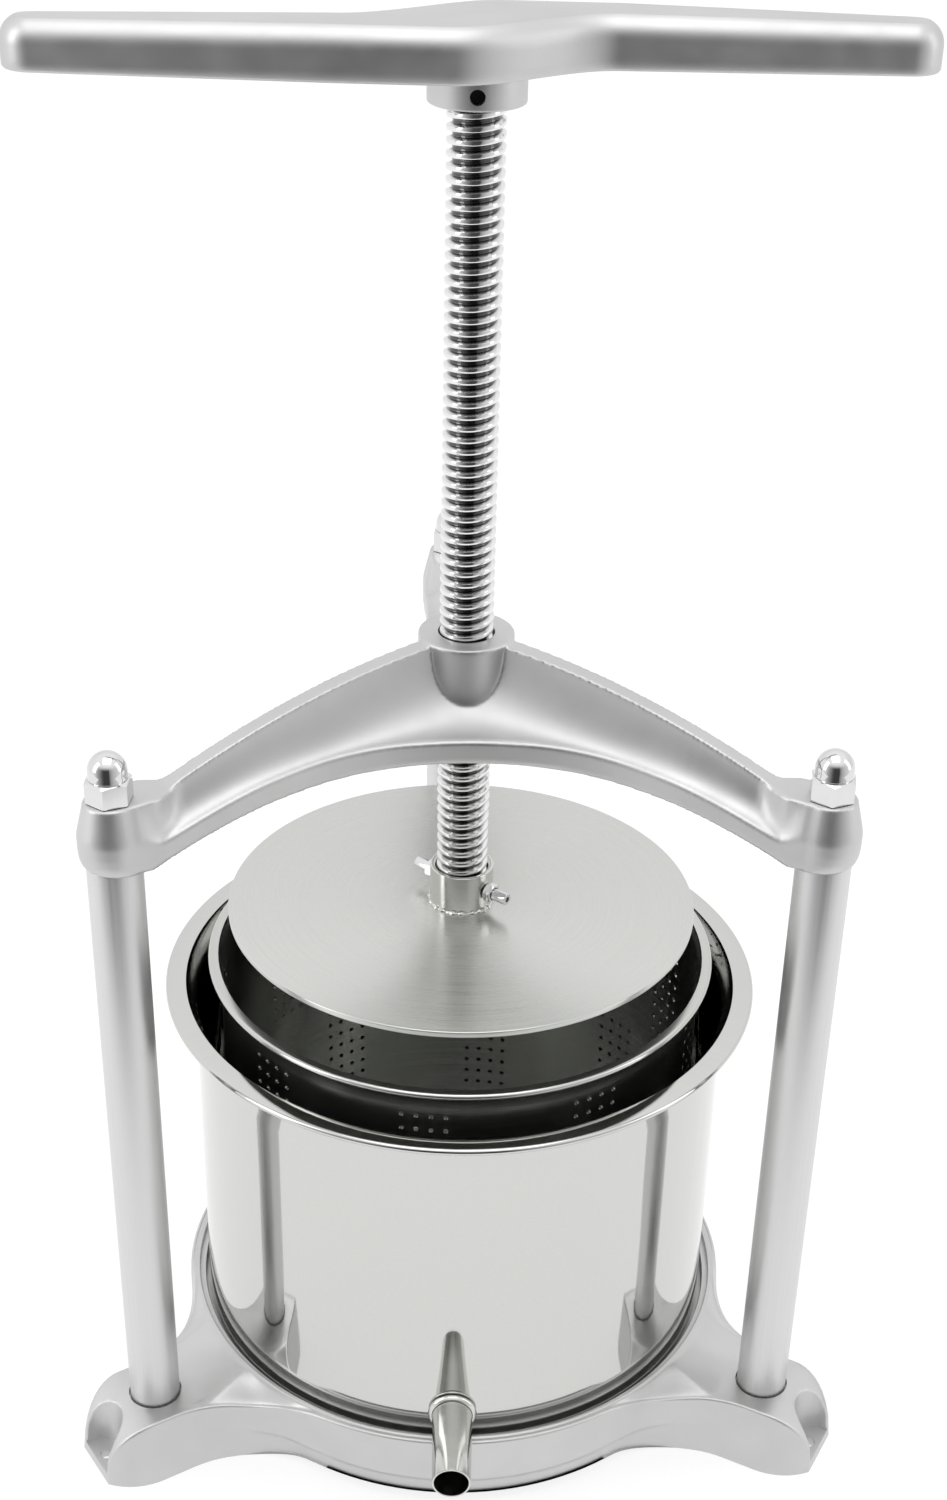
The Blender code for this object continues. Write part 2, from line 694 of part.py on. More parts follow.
def bridge_mesh(name):
    """Skin the bridge: flange, concave flanks, rib tops across each arm, and the hub above."""
    half_flange, half_rib = arm_half_outlines()
    flange = three_lobes(half_flange)
    rib = three_lobes(half_rib)

    def along(x, y):
        """Distance along the nearest arm's axis."""
        return max(x * cos(radians(d)) + y * sin(radians(d)) for d in COLUMN_ANGLES.values())

    def crest(x, y):
        s = along(x, y)
        r = hypot(x, y)
        across = sqrt(max(0.0, r * r - s * s))
        if r > HUB_R + 0.0002 or across < RIB_HALF * 1.02:
            return rib_top(s)
        turn = smooth(asin(min(1.0, across / r)) * 180 / pi, 8, 52)
        return mix(HUB_TOP_Z - RIB_TOP_DROP, HUB_TOP_Z - HUB_FILLET_DROP, turn)

    inset = BOSS_FOOT_INSET
    loops = [
        [(x * (1 - inset / hypot(x, y)), y * (1 - inset / hypot(x, y)), arm_underside(along(x, y)))
         for x, y in flange],
        [(x, y, arm_underside(along(x, y)) + inset) for x, y in flange],
        [(x, y, flange_edge(along(x, y)) - 0.0008) for x, y in flange],
    ]
    for t in (0.06, 0.30, 0.55, 0.80):
        sideways = sin(t * pi / 2)
        loop = []
        for (fx, fy), (rx, ry) in zip(flange, rib):
            s = along(fx, fy)
            upward = mix(1 - cos(t * pi / 2), sideways, boss_share(s))
            high = crest(rx, ry) - 0.0010
            loop.append((mix(fx, rx, sideways), mix(fy, ry, sideways), mix(flange_edge(s), high, upward)))
        loops.append(loop)
    loops.append([(x, y, crest(x, y)) for x, y in rib])

    work = bmesh.new()
    rows = [[work.verts.new(point) for point in loop] for loop in loops]
    count = len(rib)
    for lower, upper in zip(rows, rows[1:]):
        for i in range(count):
            j = (i + 1) % count
            work.faces.new((lower[i], lower[j], upper[j], upper[i]))
    work.faces.new(list(reversed(bridge_across(work, rows[0], half_rib, LEVEL_POINTS))))
    hub_ring = bridge_across(work, rows[-1], half_rib, HUB_ARC_POINTS)
    for radius, height in ((HUB_R, HUB_TOP_Z - 0.0008), (HUB_R - 0.0008, HUB_TOP_Z)):
        turn = [atan2(vert.co.y, vert.co.x) for vert in hub_ring]
        upper = [work.verts.new((radius * cos(a), radius * sin(a), height)) for a in turn]
        for i in range(len(upper)):
            j = (i + 1) % len(upper)
            work.faces.new((hub_ring[i], hub_ring[j], upper[j], upper[i]))
        hub_ring = upper
    work.faces.new(hub_ring)
    return mesh_from(name, work)


def make_bridge():
    bridge = link("spider_casting", bridge_mesh("spider_casting"), CAST)
    for name, degrees in COLUMN_ANGLES.items():
        spot = polar(COLUMN_CIRCLE, degrees)
        low = BOSS_BOTTOM_Z - 0.01
        drill(bridge, f"arm_hole_{name}", ROD_R + ROD_FIT, low, BOSS_TOP_Z + 0.01, spot, 24)
    drill(bridge, "screw_way", SCREW_R + 2 * SCREW_FIT, BOSS_BOTTOM_Z, HUB_TOP_Z + 0.01)
    bush_r = SCREW_R + SCREW_FIT + BUSH_WALL + GAP
    drill(bridge, "bush_seat", bush_r, BOSS_BOTTOM_Z, HUB_TOP_Z - HUB_LID)
    bush_top = HUB_TOP_Z - HUB_LID - GAP
    bush = tube_profile(bush_r - GAP, SCREW_R + SCREW_FIT, COLUMN_TOP_Z + BUSH_FOOT, bush_top)
    turned("thread_bush", bush, BRONZE, 24)


# ---------------------------------------------------------------- screw and handle


def make_screw():
    groove = PLATE_TOP_Z + RETAINER_Z
    profile = [
        (0, SCREW_TOP_Z),
        (SCREW_R - SCREW_CHAMFER, SCREW_TOP_Z),
        (SCREW_R, SCREW_TOP_Z - SCREW_CHAMFER),
        (SCREW_R, groove + GROOVE_HALF),
        (GROOVE_R, groove + GROOVE_HALF),
        (GROOVE_R, groove - GROOVE_HALF),
        (SCREW_R, groove - GROOVE_HALF),
        (SCREW_R, SCREW_FOOT_Z + SCREW_CHAMFER),
        (SCREW_R - SCREW_CHAMFER, SCREW_FOOT_Z),
        (0, SCREW_FOOT_Z),
    ]
    turned("press_screw", profile, BRIGHT, 24)


def handle_share(x):
    """0 up to the arm's bend and 1 at its tip."""
    span = HANDLE_REACH - HANDLE_TIP_WIDTH / 2 - HANDLE_BEND_END
    return min(1.0, max(0.0, (abs(x) - HANDLE_BEND_END) / span))


def handle_outline(inset):
    """Outline of the two-armed bar seen from above, drawn in by inset all round."""
    tip = HANDLE_TIP_WIDTH / 2
    xs = [mix(tip - HANDLE_REACH, -HANDLE_BEND_END, i / 2) for i in range(2)]
    xs += [mix(-HANDLE_BEND_END, HANDLE_BEND_START, i / 2) for i in range(2)]
    xs += [mix(HANDLE_BEND_START, HANDLE_BEND_END, i / 9) for i in range(10)]
    xs += [mix(HANDLE_BEND_END, HANDLE_REACH - tip, 0.5)]
    front = []
    for x in xs:
        half = mix(HANDLE_ROOT_WIDTH, HANDLE_TIP_WIDTH, handle_share(x)) / 2
        sweep = smooth(x, HANDLE_BEND_START, HANDLE_BEND_END)
        front.append((x, mix(-HANDLE_ARM_OFFSET, HANDLE_ARM_OFFSET, sweep) - half))
    end = arc((HANDLE_REACH - tip, HANDLE_ARM_OFFSET), tip, -90, 90, 9)
    half_turn = front + end[:-1]
    outline = half_turn + [(-x, -y) for x, y in half_turn]
    count = len(outline)
    drawn = []
    for i, (x, y) in enumerate(outline):
        ax, ay = outline[i - 1]
        bx, by = outline[(i + 1) % count]
        dx, dy = bx - ax, by - ay
        size = hypot(dx, dy)
        drawn.append((x - dy / size * inset, y + dx / size * inset))
    return drawn


def handle_loop(inset, height, drop_share):
    drop = HANDLE_TIP_DROP * drop_share
    return [(x, y, height - drop * handle_share(x)) for x, y in handle_outline(inset)]


def make_handle():
    top = HANDLE_BAR_Z + HANDLE_BAR_T
    ceiling = top - HANDLE_WALL
    loops = [
        handle_loop(HANDLE_WALL + HANDLE_CAVITY_DRAFT, ceiling, 1.0),
        handle_loop(HANDLE_WALL, HANDLE_BAR_Z, 0.0),
        handle_loop(HANDLE_EDGE, HANDLE_BAR_Z, 0.0),
        handle_loop(0.0, HANDLE_BAR_Z + HANDLE_EDGE, 0.0),
    ]
    for d in (0, 18, 36, 54, 72, 90):
        inset = HANDLE_ROUND * (1 - cos(radians(d)))
        height = top - HANDLE_ROUND + HANDLE_ROUND * sin(radians(d))
        loops.append(handle_loop(inset, height, 1.0))
    handle = link("handle_casting", loft_mesh("handle_casting", loops), CAST, turn=HANDLE_TURN)
    hub = [
        (0, ceiling + 0.001),
        (HANDLE_HUB_R, ceiling + 0.001),
        (HANDLE_HUB_R, HANDLE_HUB_Z + 0.0008),
        (HANDLE_HUB_R - 0.0008, HANDLE_HUB_Z),
        (0, HANDLE_HUB_Z),
    ]
    combine(handle, cutter("handle_hub", turned_mesh("handle_hub", hub, 40)), "UNION")
    drill(handle, "handle_bore", SCREW_R + SCREW_FIT, HANDLE_HUB_Z - 0.01, SCREW_TOP_Z + GAP)
    pin_z = HANDLE_HUB_Z + PIN_SHARE * HANDLE_HUB_DROP
    hole = prism_mesh("pin_hole", 16, PIN_R + GAP, 0.0, HANDLE_HUB_R + 0.01)
    cut(handle, cutter("pin_hole", hole, radial_matrix(PIN_TURN, pin_z)))
    pin = prism_mesh("handle_pin", 16, PIN_R, SCREW_R + SCREW_FIT, HANDLE_HUB_R - PIN_SINK)
    pin.transform(radial_matrix(PIN_TURN, pin_z))
    link("handle_pin", pin, ZINC)


# ---------------------------------------------------------------- pressing plate


def make_plate():
    bottom = PLATE_TOP_Z - PLATE_T
    disc = [
        (0, PLATE_TOP_Z),
        (PLATE_R - PLATE_EDGE, PLATE_TOP_Z),
        (PLATE_R, PLATE_TOP_Z - PLATE_EDGE),
        (PLATE_R, bottom + PLATE_EDGE),
        (PLATE_R - PLATE_EDGE, bottom),
        (0, bottom),
    ]
    turned("press_disc", disc, BRUSHED, 64)
    foot = PLATE_TOP_Z + GAP
    inner = SCREW_R + SCREW_FIT
    top = PLATE_TOP_Z + SOCKET_HEIGHT
    sleeve = [
        (inner + 0.0008, top),
        (SOCKET_R - 0.0005, top),
        (SOCKET_R, top - 0.0005),
        (SOCKET_R, foot + SOCKET_WELD),
        (SOCKET_R + SOCKET_WELD, foot),
        (inner, foot),
        (inner, top - 0.0008),
    ]
    socket = turned("screw_socket", sleeve, BRUSHED, 32)
    level = PLATE_TOP_Z + RETAINER_Z
    for name, degrees in RETAINER_ANGLES.items():
        place = radial_matrix(degrees, level)
        hole = prism_mesh(f"retainer_hole_{name}", 16, RETAINER_R + GAP, inner - 0.004, SOCKET_R + 0.004)
        cut(socket, cutter(f"retainer_hole_{name}", hole, place))
        start = GROOVE_R + GAP
        end = start + RETAINER_LENGTH
        stud = [
            (0, end - RETAINER_KEY_DEPTH),
            (RETAINER_KEY_R, end - RETAINER_KEY_DEPTH),
            (RETAINER_KEY_R, end),
            (RETAINER_R - 0.0004, end),
            (RETAINER_R, end - 0.0004),
            (RETAINER_R, start + 0.0006),
            (RETAINER_R - 0.0006, start),
            (0, start),
        ]
        mesh = turned_mesh(f"retaining_screw_{name}", list(reversed(stud)), 16)
        mesh.transform(place)
        link(f"retaining_screw_{name}", mesh, BRIGHT)
        seat = SOCKET_R + GAP
        nut = prism_mesh(f"lock_nut_{name}", 6, LOCK_FLATS / sqrt(3), seat, seat + LOCK_HEIGHT)
        nut.transform(place)
        nut_piece = link(f"lock_nut_{name}", nut, BRIGHT)
        bore = prism_mesh(f"lock_bore_{name}", 16, RETAINER_R + GAP, seat - 0.01, seat + 0.02)
        cut(nut_piece, cutter(f"lock_bore_{name}", bore, place))


# ---------------------------------------------------------------- pot and basket


def shell_profile(radius, wall, floor, rim, rim_r, flare_r, corner, flare_drop):
    """Profile of a thin round vessel with a rounded corner and an outward rolled rim."""
    bead = RIM_BEAD_R
    outer = [
        (rim_r - bead, rim),
        (rim_r, rim - bead),
        (rim_r - 0.0004, rim - 2.2 * bead),
        (rim_r - bead, rim - 2.4 * bead),
        (rim_r - 1.6 * bead, rim - wall - 0.0006),
        (flare_r, rim - wall - 0.0004),
        (mix(radius, flare_r, 0.45), rim - 0.35 * flare_drop - wall),
        (radius, rim - flare_drop),
    ]
    outer += [
        (radius - corner + corner * cos(radians(d)), floor + corner - corner * sin(radians(d)))
        for d in (0, 45, 90)
    ]
    outer.append((0, floor))
    inside = corner - wall
    inner = [(0, floor + wall)]
    inner += [
        (radius - corner + inside * cos(radians(d)), floor + corner - inside * sin(radians(d)))
        for d in (90, 45, 0)
    ]
    inner += [
        (radius - wall, rim - flare_drop),
        (mix(radius, flare_r, 0.45) - wall, rim - 0.35 * flare_drop),
        (flare_r - 0.0004, rim),
    ]
    return inner, outer


def vessel(name, finish, profile, sides):
    inner, outer = profile
    return turned(name, list(reversed(list(reversed(outer)) + list(reversed(inner)))), finish, sides)


def make_pot():
    sizes = shell_profile(
        POT_R,
        POT_WALL,
        POT_FLOOR_Z,
        POT_RIM_Z,
        POT_RIM_R,
        POT_FLARE_R,
        POT_CORNER,
        POT_FLARE_DROP,
    )
    pot = vessel("pot_shell", MIRROR, sizes, 48)
    place = radial_matrix(SPOUT_TURN, SPOUT_Z)
    hole = prism_mesh("spout_hole", 24, SPOUT_ROOT_R + GAP, POT_R - 0.012, POT_R + 0.01)
    cut(pot, cutter("spout_hole", hole, place))
    start = POT_R - POT_WALL - 0.0008
    end = POT_R + SPOUT_LENGTH
    tube = [
        (SPOUT_MOUTH_R, end),
        (SPOUT_ROOT_R, start),
        (SPOUT_ROOT_R - SPOUT_WALL, start),
        (SPOUT_MOUTH_R - SPOUT_WALL, end),
    ]
    mesh = turned_mesh("spout_tube", tube, 24)
    mesh.transform(place)
    link("spout_tube", mesh, BRUSHED)
    back = POT_R + GAP
    bore = SPOUT_ROOT_R + GAP
    ring = [
        (COLLAR_R - 0.0008, back + COLLAR_T),
        (COLLAR_R, back + COLLAR_T - 0.0008),
        (COLLAR_R, back),
        (bore, back),
        (bore, back + COLLAR_T),
    ]
    mesh = turned_mesh("spout_collar", ring, 24)
    mesh.transform(place)
    link("spout_collar", mesh, BRUSHED)


def make_basket():
    sizes = shell_profile(
        BASKET_R,
        BASKET_WALL,
        BASKET_FLOOR_Z,
        BASKET_RIM_Z,
        BASKET_RIM_R,
        BASKET_FLARE_R,
        BASKET_CORNER,
        BASKET_FLARE_DROP,
    )
    vessel("basket_shell", BRUSHED, sizes, 48)


make_base()
make_columns()
make_bridge()
make_screw()
make_handle()
make_plate()
make_pot()
make_basket()
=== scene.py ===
"""Looks of the cheese press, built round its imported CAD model.

Metres, +Z up. The origin is on the screw's axis, on the floor. The columns stand at 90, 210 and 330
degrees. Finer pieces stand for most of the CAD nodes, at the same sizes; the rods, washers and nuts
under the base and the bush in the bridge keep their CAD meshes and get new materials.
"""

from math import asin, atan2, cos, exp, hypot, log, pi, radians, sin, sqrt

import bmesh
import bpy
from mathutils import Matrix, Vector


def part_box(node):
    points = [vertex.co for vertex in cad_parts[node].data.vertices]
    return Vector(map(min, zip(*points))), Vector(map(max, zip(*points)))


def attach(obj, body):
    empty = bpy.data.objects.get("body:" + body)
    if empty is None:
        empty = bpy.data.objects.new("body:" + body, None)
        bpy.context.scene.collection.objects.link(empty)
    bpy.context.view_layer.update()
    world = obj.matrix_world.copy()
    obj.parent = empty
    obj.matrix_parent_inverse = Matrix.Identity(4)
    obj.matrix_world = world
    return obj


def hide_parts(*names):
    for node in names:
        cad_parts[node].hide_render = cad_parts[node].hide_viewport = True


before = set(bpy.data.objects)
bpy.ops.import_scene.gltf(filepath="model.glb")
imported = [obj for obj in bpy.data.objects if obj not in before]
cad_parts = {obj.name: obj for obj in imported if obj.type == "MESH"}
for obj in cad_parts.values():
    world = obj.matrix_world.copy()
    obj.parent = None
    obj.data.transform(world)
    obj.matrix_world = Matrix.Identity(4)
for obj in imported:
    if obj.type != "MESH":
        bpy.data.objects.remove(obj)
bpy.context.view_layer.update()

# ---------------------------------------------------------------- sizes, as in the CAD model

COLUMN_ANGLES = {"rear": 90.0, "front_left": 210.0, "front_right": 330.0}
COLUMN_CIRCLE = 0.1734
COLUMN_R = 0.0120
ROD_R = 0.0060
NUT_FLATS = 0.0180
NUT_HEIGHT = 0.0100
DOME_R = 0.0084
DOME_HEIGHT = 0.0118
CAP_NUT_TURN = -8.0

DECK_Z = 0.0340
LIP_Z = 0.0460
SKIRT_Z = 0.0070
RING_R = 0.1375
RING_DRAFT = 0.0050
NECK_FILLET = 0.0500
LOBE_HALF = 0.0215
LOBE_DRAFT = 0.0045
FOOT_REACH = 0.2075
FOOT_END_HALF = 0.0144
DECK_REACH = 0.1850
FOOT_SIDE_REACH = 0.1830
LIP_WIDTH = 0.0014
DECK_FLAT_R = 0.1530
LEDGE_DROP = 0.0030
LEDGE_WIDTH = 0.0030
WELL_CLEARANCE = 0.0022
WELL_DEPTH = 0.0100
BASE_WALL = 0.0050
BASE_ROOF = 0.0070
CENTRE_BOSS_R = 0.0300
COLUMN_SEAT_DEPTH = 0.0030
COLUMN_SEAT_FIT = 0.0008
PAD_T = 0.0050
POCKET_HALF = 0.0120
POCKET_CENTRE = 0.2045
BOLT_HOLE_R = 0.0031
BOLT_CIRCLE = 0.2016

GAP = 0.0003
BOSS_HEIGHT = 0.0303
BOSS_R = 0.0149
BOSS_TOP_R = 0.0112
BOSS_FOOT_INSET = 0.0016
ARM_FLANGE_HALF = 0.0145
ARM_FLANGE_T = 0.0115
ARM_FLANGE_END_T = 0.0090
ARM_FILLET = 0.1466
ARM_RISE = 0.0160
ARM_START = 0.0400
ARM_LEVEL = 0.0203
ARM_DIP = 0.0060
ARM_DIP_START = 0.1050
BOSS_EDGE = 0.0150
RIB_HALF = 0.0042
PLATFORM_LENGTH = 0.0245
HUB_R = 0.0213
RIB_TOP_DROP = 0.0010

SCREW_R = 0.0120
SCREW_ROOT_R = 0.0094
PITCH = 0.0050
GROOVE_R = 0.0090
HANDLE_HUB_R = 0.0196
HANDLE_HUB_DROP = 0.0122
HANDLE_BAR_Z = 0.6400
HANDLE_BAR_T = 0.0200
HANDLE_ROUND = 0.0098
HANDLE_REACH = 0.1795
HANDLE_ROOT_WIDTH = 0.0340
HANDLE_TIP_WIDTH = 0.0260
HANDLE_TIP_DROP = 0.0015
HANDLE_ARM_OFFSET = 0.0170
HANDLE_BEND_START = -0.0090
HANDLE_BEND_END = 0.0555
HANDLE_WALL = 0.0050
HANDLE_TURN = -4.0
PIN_TURN = -92.0
PIN_R = 0.0027

PLATE_TOP_Z = 0.2647
PLATE_R = 0.1098
PLATE_T = 0.0030
SOCKET_WALL = 0.0026
SOCKET_HEIGHT = 0.0192
RETAINER_Z = 0.0095
RETAINER_R = 0.0028
RETAINER_LENGTH = 0.0175
LOCK_FLATS = 0.0080
LOCK_HEIGHT = 0.0040
RETAINER_ANGLES = {"right": -40.0, "left": 140.0}

POT_R = 0.1275
POT_HEIGHT = 0.1882
POT_WALL = 0.0012
POT_RIM_R = 0.1410
POT_FLARE_R = 0.1318
POT_FLARE_DROP = 0.0095
POT_CORNER = 0.0060
BASKET_R = 0.1147
BASKET_HEIGHT = 0.2005
BASKET_WALL = 0.0010
BASKET_RIM_R = 0.1203
BASKET_FLARE = 0.0012
BASKET_FLARE_DROP = 0.0050
BASKET_CORNER = 0.0080
RIM_BEAD_R = 0.0016
SPOUT_TURN = -92.5
SPOUT_Z = 0.0568
SPOUT_LENGTH = 0.0455
SPOUT_ROOT_R = 0.0097
SPOUT_MOUTH_R = 0.0089
SPOUT_WALL = 0.0009
COLLAR_R = 0.0116
COLLAR_T = 0.0030

COLUMN_FOOT_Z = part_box("column_rear")[0].z
COLUMN_TOP_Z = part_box("column_rear")[1].z
BOSS_BOTTOM_Z = COLUMN_TOP_Z + GAP
BOSS_TOP_Z = BOSS_BOTTOM_Z + BOSS_HEIGHT
HUB_TOP_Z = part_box("spider_casting")[1].z
ARM_BOTTOM_Z = COLUMN_TOP_Z + ARM_LEVEL
WELL_FLOOR_Z = LIP_Z - WELL_DEPTH
WELL_R = POT_R + WELL_CLEARANCE
LEDGE_R = WELL_R + LEDGE_WIDTH
CAP_SEAT_Z = BOSS_TOP_Z + GAP
SCREW_FOOT_Z, SCREW_TOP_Z = (corner.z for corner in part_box("press_screw"))
HANDLE_HUB_Z = HANDLE_BAR_Z - HANDLE_HUB_DROP
SOCKET_R = SCREW_R + GAP + SOCKET_WALL
POT_FLOOR_Z = WELL_FLOOR_Z + GAP
POT_RIM_Z = POT_FLOOR_Z + POT_HEIGHT
BASKET_FLOOR_Z = POT_FLOOR_Z + POT_WALL + GAP
BASKET_RIM_Z = BASKET_FLOOR_Z + BASKET_HEIGHT


# ---------------------------------------------------------------- mesh helpers


def polar(radius, degrees, height=0.0):
    return Vector((radius * cos(radians(degrees)), radius * sin(radians(degrees)), height))


def radial_matrix(degrees, height):
    """Lays a piece made along +Z out along a radius at the given angle."""
    turn = Matrix.Rotation(radians(degrees), 4, "Z")
    return turn @ Matrix.Translation((0, 0, height)) @ Matrix.Rotation(radians(90), 4, "Y")


def smooth(value, low, high):
    t = min(1.0, max(0.0, (value - low) / (high - low)))
    return t * t * (3 - 2 * t)


def mix(a, b, t):
    return a + (b - a) * t


def arc(centre, radius, start, end, count):
    """Points on an arc in degrees, both ends included."""
    steps = [start + (end - start) * i / (count - 1) for i in range(count)]
    return [(centre[0] + radius * cos(radians(d)), centre[1] + radius * sin(radians(d))) for d in steps]


def mesh_from(name, work):
    mesh = bpy.data.meshes.new(name)
    bmesh.ops.recalc_face_normals(work, faces=work.faces)
    work.to_mesh(mesh)
    work.free()
    return mesh


def skin(work, rows):
    count = len(rows[0])
    for lower, upper in zip(rows, rows[1:]):
        for i in range(count):
            j = (i + 1) % count
            work.faces.new((lower[i], lower[j], upper[j], upper[i]))


def loft_mesh(name, loops):
    """Skin a stack of closed loops that have the same number of points, and cap both ends."""
    work = bmesh.new()
    rows = [[work.verts.new(point) for point in loop] for loop in loops]
    skin(work, rows)
    work.faces.new(list(reversed(rows[0])))
    work.faces.new(rows[-1])
    return mesh_from(name, work)


def turned_mesh(name, profile, sides=128):
    """Turn a profile of (radius, height) about Z. An end on the axis is closed; else the profile is."""
    work = bmesh.new()
    rows = []
    for r, z in profile:
        if r < 1e-7:
            rows.append([work.verts.new((0, 0, z))])
        else:
            spots = [2 * pi * i / sides for i in range(sides)]
            rows.append([work.verts.new((r * cos(a), r * sin(a), z)) for a in spots])
    if profile[0][0] > 1e-7 and profile[-1][0] > 1e-7:
        rows.append(rows[0])
    for lower, upper in zip(rows, rows[1:]):
        for i in range(sides):
            j = (i + 1) % sides
            if len(lower) == 1:
                work.faces.new((lower[0], upper[i], upper[j]))
            elif len(upper) == 1:
                work.faces.new((lower[i], lower[j], upper[0]))
            else:
                work.faces.new((lower[i], lower[j], upper[j], upper[i]))
    return mesh_from(name, work)


def rounded(points, radius, count=4):
    """Round each inner corner of a profile, by at most the given radius."""
    made = [points[0]]
    for before, at, after in zip(points, points[1:], points[2:]):
        a = Vector(before) - Vector(at)
        b = Vector(after) - Vector(at)
        if a.length < 1e-9 or b.length < 1e-9:
            continue
        reach = min(radius, a.length * 0.45, b.length * 0.45)
        start = Vector(at) + a.normalized() * reach
        end = Vector(at) + b.normalized() * reach
        for i in range(count + 1):
            t = i / count
            point = start * (1 - t) ** 2 + Vector(at) * 2 * t * (1 - t) + end * t * t
            made.append(tuple(point))
    made.append(points[-1])
    return made


def prism_mesh(name, sides, radius, bottom, top, start=0.0):
    outline = arc((0, 0), radius, start, start + 360 * (sides - 1) / sides, sides)
    return loft_mesh(name, [[(x, y, z) for x, y in outline] for z in (bottom, top)])


def boolean(mesh, other, operation="DIFFERENCE"):
    """The mesh combined with another mesh, as a new mesh."""
    body = bpy.data.objects.new("body", mesh)
    tool = bpy.data.objects.new("tool", other)
    for item in (body, tool):
        bpy.context.scene.collection.objects.link(item)
    step = body.modifiers.new("combine", "BOOLEAN")
    step.operation = operation
    step.solver = "EXACT"
    step.object = tool
    return baked(body, tool)


def baked(item, *helpers):
    """The object's mesh with its modifiers, after which the object and its helpers are gone."""
    bpy.context.view_layer.update()
    ready = item.evaluated_get(bpy.context.evaluated_depsgraph_get())
    made = bpy.data.meshes.new_from_object(ready)
    made.name = item.data.name
    for old in (item, *helpers):
        bpy.data.objects.remove(old, do_unlink=True)
    return made


def moved(mesh, matrix):
    mesh.transform(matrix)
    return mesh


def joined(name, *meshes):
    """Several closed shells in one mesh."""
    work = bmesh.new()
    for mesh in meshes:
        work.from_mesh(mesh)
    made = bpy.data.meshes.new(name)
    work.to_mesh(made)
    work.free()
    return made


def piece(name, mesh, body, material, nodes=(), sharp=32):
    """Put a mesh into the scene as a named piece of a body."""
    mesh.name = name
    item = bpy.data.objects.new(name, mesh)
    bpy.context.scene.collection.objects.link(item)
    mesh.materials.clear()
    mesh.materials.append(material)
    mesh.shade_smooth()
    if sharp:
        mesh.set_sharp_from_angle(angle=radians(sharp))
    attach(item, body)
    if nodes:
        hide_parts(*nodes)
    return item


def three_lobes(half):
    """Mirror half a lobe's (along, across) points about its axis and repeat it on all three axes."""
    whole = [(a, -b) for a, b in reversed(half[1:-1])] + half
    points = []
    for degrees in COLUMN_ANGLES.values():
        c = cos(radians(degrees))
        s = sin(radians(degrees))
        points += [(a * c - b * s, a * s + b * c) for a, b in whole]
    return points


# ---------------------------------------------------------------- materials


def new_material(name, colour, roughness, metallic=1.0):
    material = bpy.data.materials.new(name)
    material.use_nodes = True
    shader = material.node_tree.nodes["Principled BSDF"]
    shader.inputs["Base Color"].default_value = (*colour, 1.0)
    shader.inputs["Roughness"].default_value = roughness
    shader.inputs["Metallic"].default_value = metallic
    return material, shader


def add(material, kind, **values):
    node = material.node_tree.nodes.new(kind)
    for name, value in values.items():
        if hasattr(node, name):
            setattr(node, name, value)
        else:
            node.inputs[name.replace("_", " ")].default_value = value
    return node


def wire(material, source, target):
    material.node_tree.links.new(source, target)


def noise_at(material, coords, scale, detail=4.0, rough=0.55):
    node = add(material, "ShaderNodeTexNoise")
    node.inputs["Scale"].default_value = scale
    node.inputs["Detail"].default_value = detail
    node.inputs["Roughness"].default_value = rough
    wire(material, coords, node.inputs["Vector"])
    return node.outputs["Fac"]


def ramped(material, source, stops):
    """A source through a colour ramp of (place, tone or colour)."""
    node = add(material, "ShaderNodeValToRGB")
    ramp = node.color_ramp
    while len(ramp.elements) < len(stops):
        ramp.elements.new(0.5)
    for element, (at, colour) in zip(ramp.elements, stops):
        element.position = at
        if isinstance(colour, (int, float)):
            colour = (colour, colour, colour)
        element.color = (*colour, 1.0)
    wire(material, source, node.inputs["Fac"])
    return node.outputs["Color"]


def varied(material, shader, slot, source, low, high):
    """Vary one of the shader's values with a pattern, between two (place, value) ends."""
    wire(material, ramped(material, source, [low, high]), shader.inputs[slot])


def object_coords(material):
    return add(material, "ShaderNodeTexCoord").outputs["Object"]


def scaled(material, coords, scale):
    node = add(material, "ShaderNodeMapping")
    node.inputs["Scale"].default_value = scale
    wire(material, coords, node.inputs["Vector"])
    return node.outputs["Vector"]


def bumped(material, shader, height, distance, strength=1.0):
    node = add(material, "ShaderNodeBump")
    node.inputs["Distance"].default_value = distance
    node.inputs["Strength"].default_value = strength
    wire(material, height, node.inputs["Height"])
    wire(material, node.outputs["Normal"], shader.inputs["Normal"])


def cast_material(name, tone, roughness):
    """Bead-blasted aluminium casting: fine grain, faint clouding and slightly uneven gloss."""
    material, shader = new_material(name, (tone, tone, tone), roughness)
    coords = object_coords(material)
    cloud = noise_at(material, coords, 22.0, 3.0)
    low, high = tone * 0.955, min(1.0, tone * 1.03)
    varied(material, shader, "Base Color", cloud, (0.3, low), (0.7, high))
    patch = noise_at(material, coords, 60.0, 5.0)
    varied(material, shader, "Roughness", patch, (0.3, roughness * 0.92), (0.7, roughness * 1.08))
    grain = noise_at(material, coords, 1500.0, 2.0)
    bumped(material, shader, grain, 0.00005, 0.35)
    return material


def tube_material(name, tone, roughness, metallic):
    """Satin anodised tube with faint lines drawn along it."""
    material, shader = new_material(name, (tone, tone, tone), roughness, metallic)
    coords = object_coords(material)
    lines = noise_at(material, scaled(material, coords, (900.0, 900.0, 4.0)), 1.0, 3.0)
    low, high = tone * 0.97, min(1.0, tone * 1.02)
    varied(material, shader, "Base Color", lines, (0.3, low), (0.7, high))
    varied(material, shader, "Roughness", lines, (0.3, roughness * 0.9), (0.7, roughness * 1.1))
    bumped(material, shader, lines, 0.00002, 0.3)
    return material


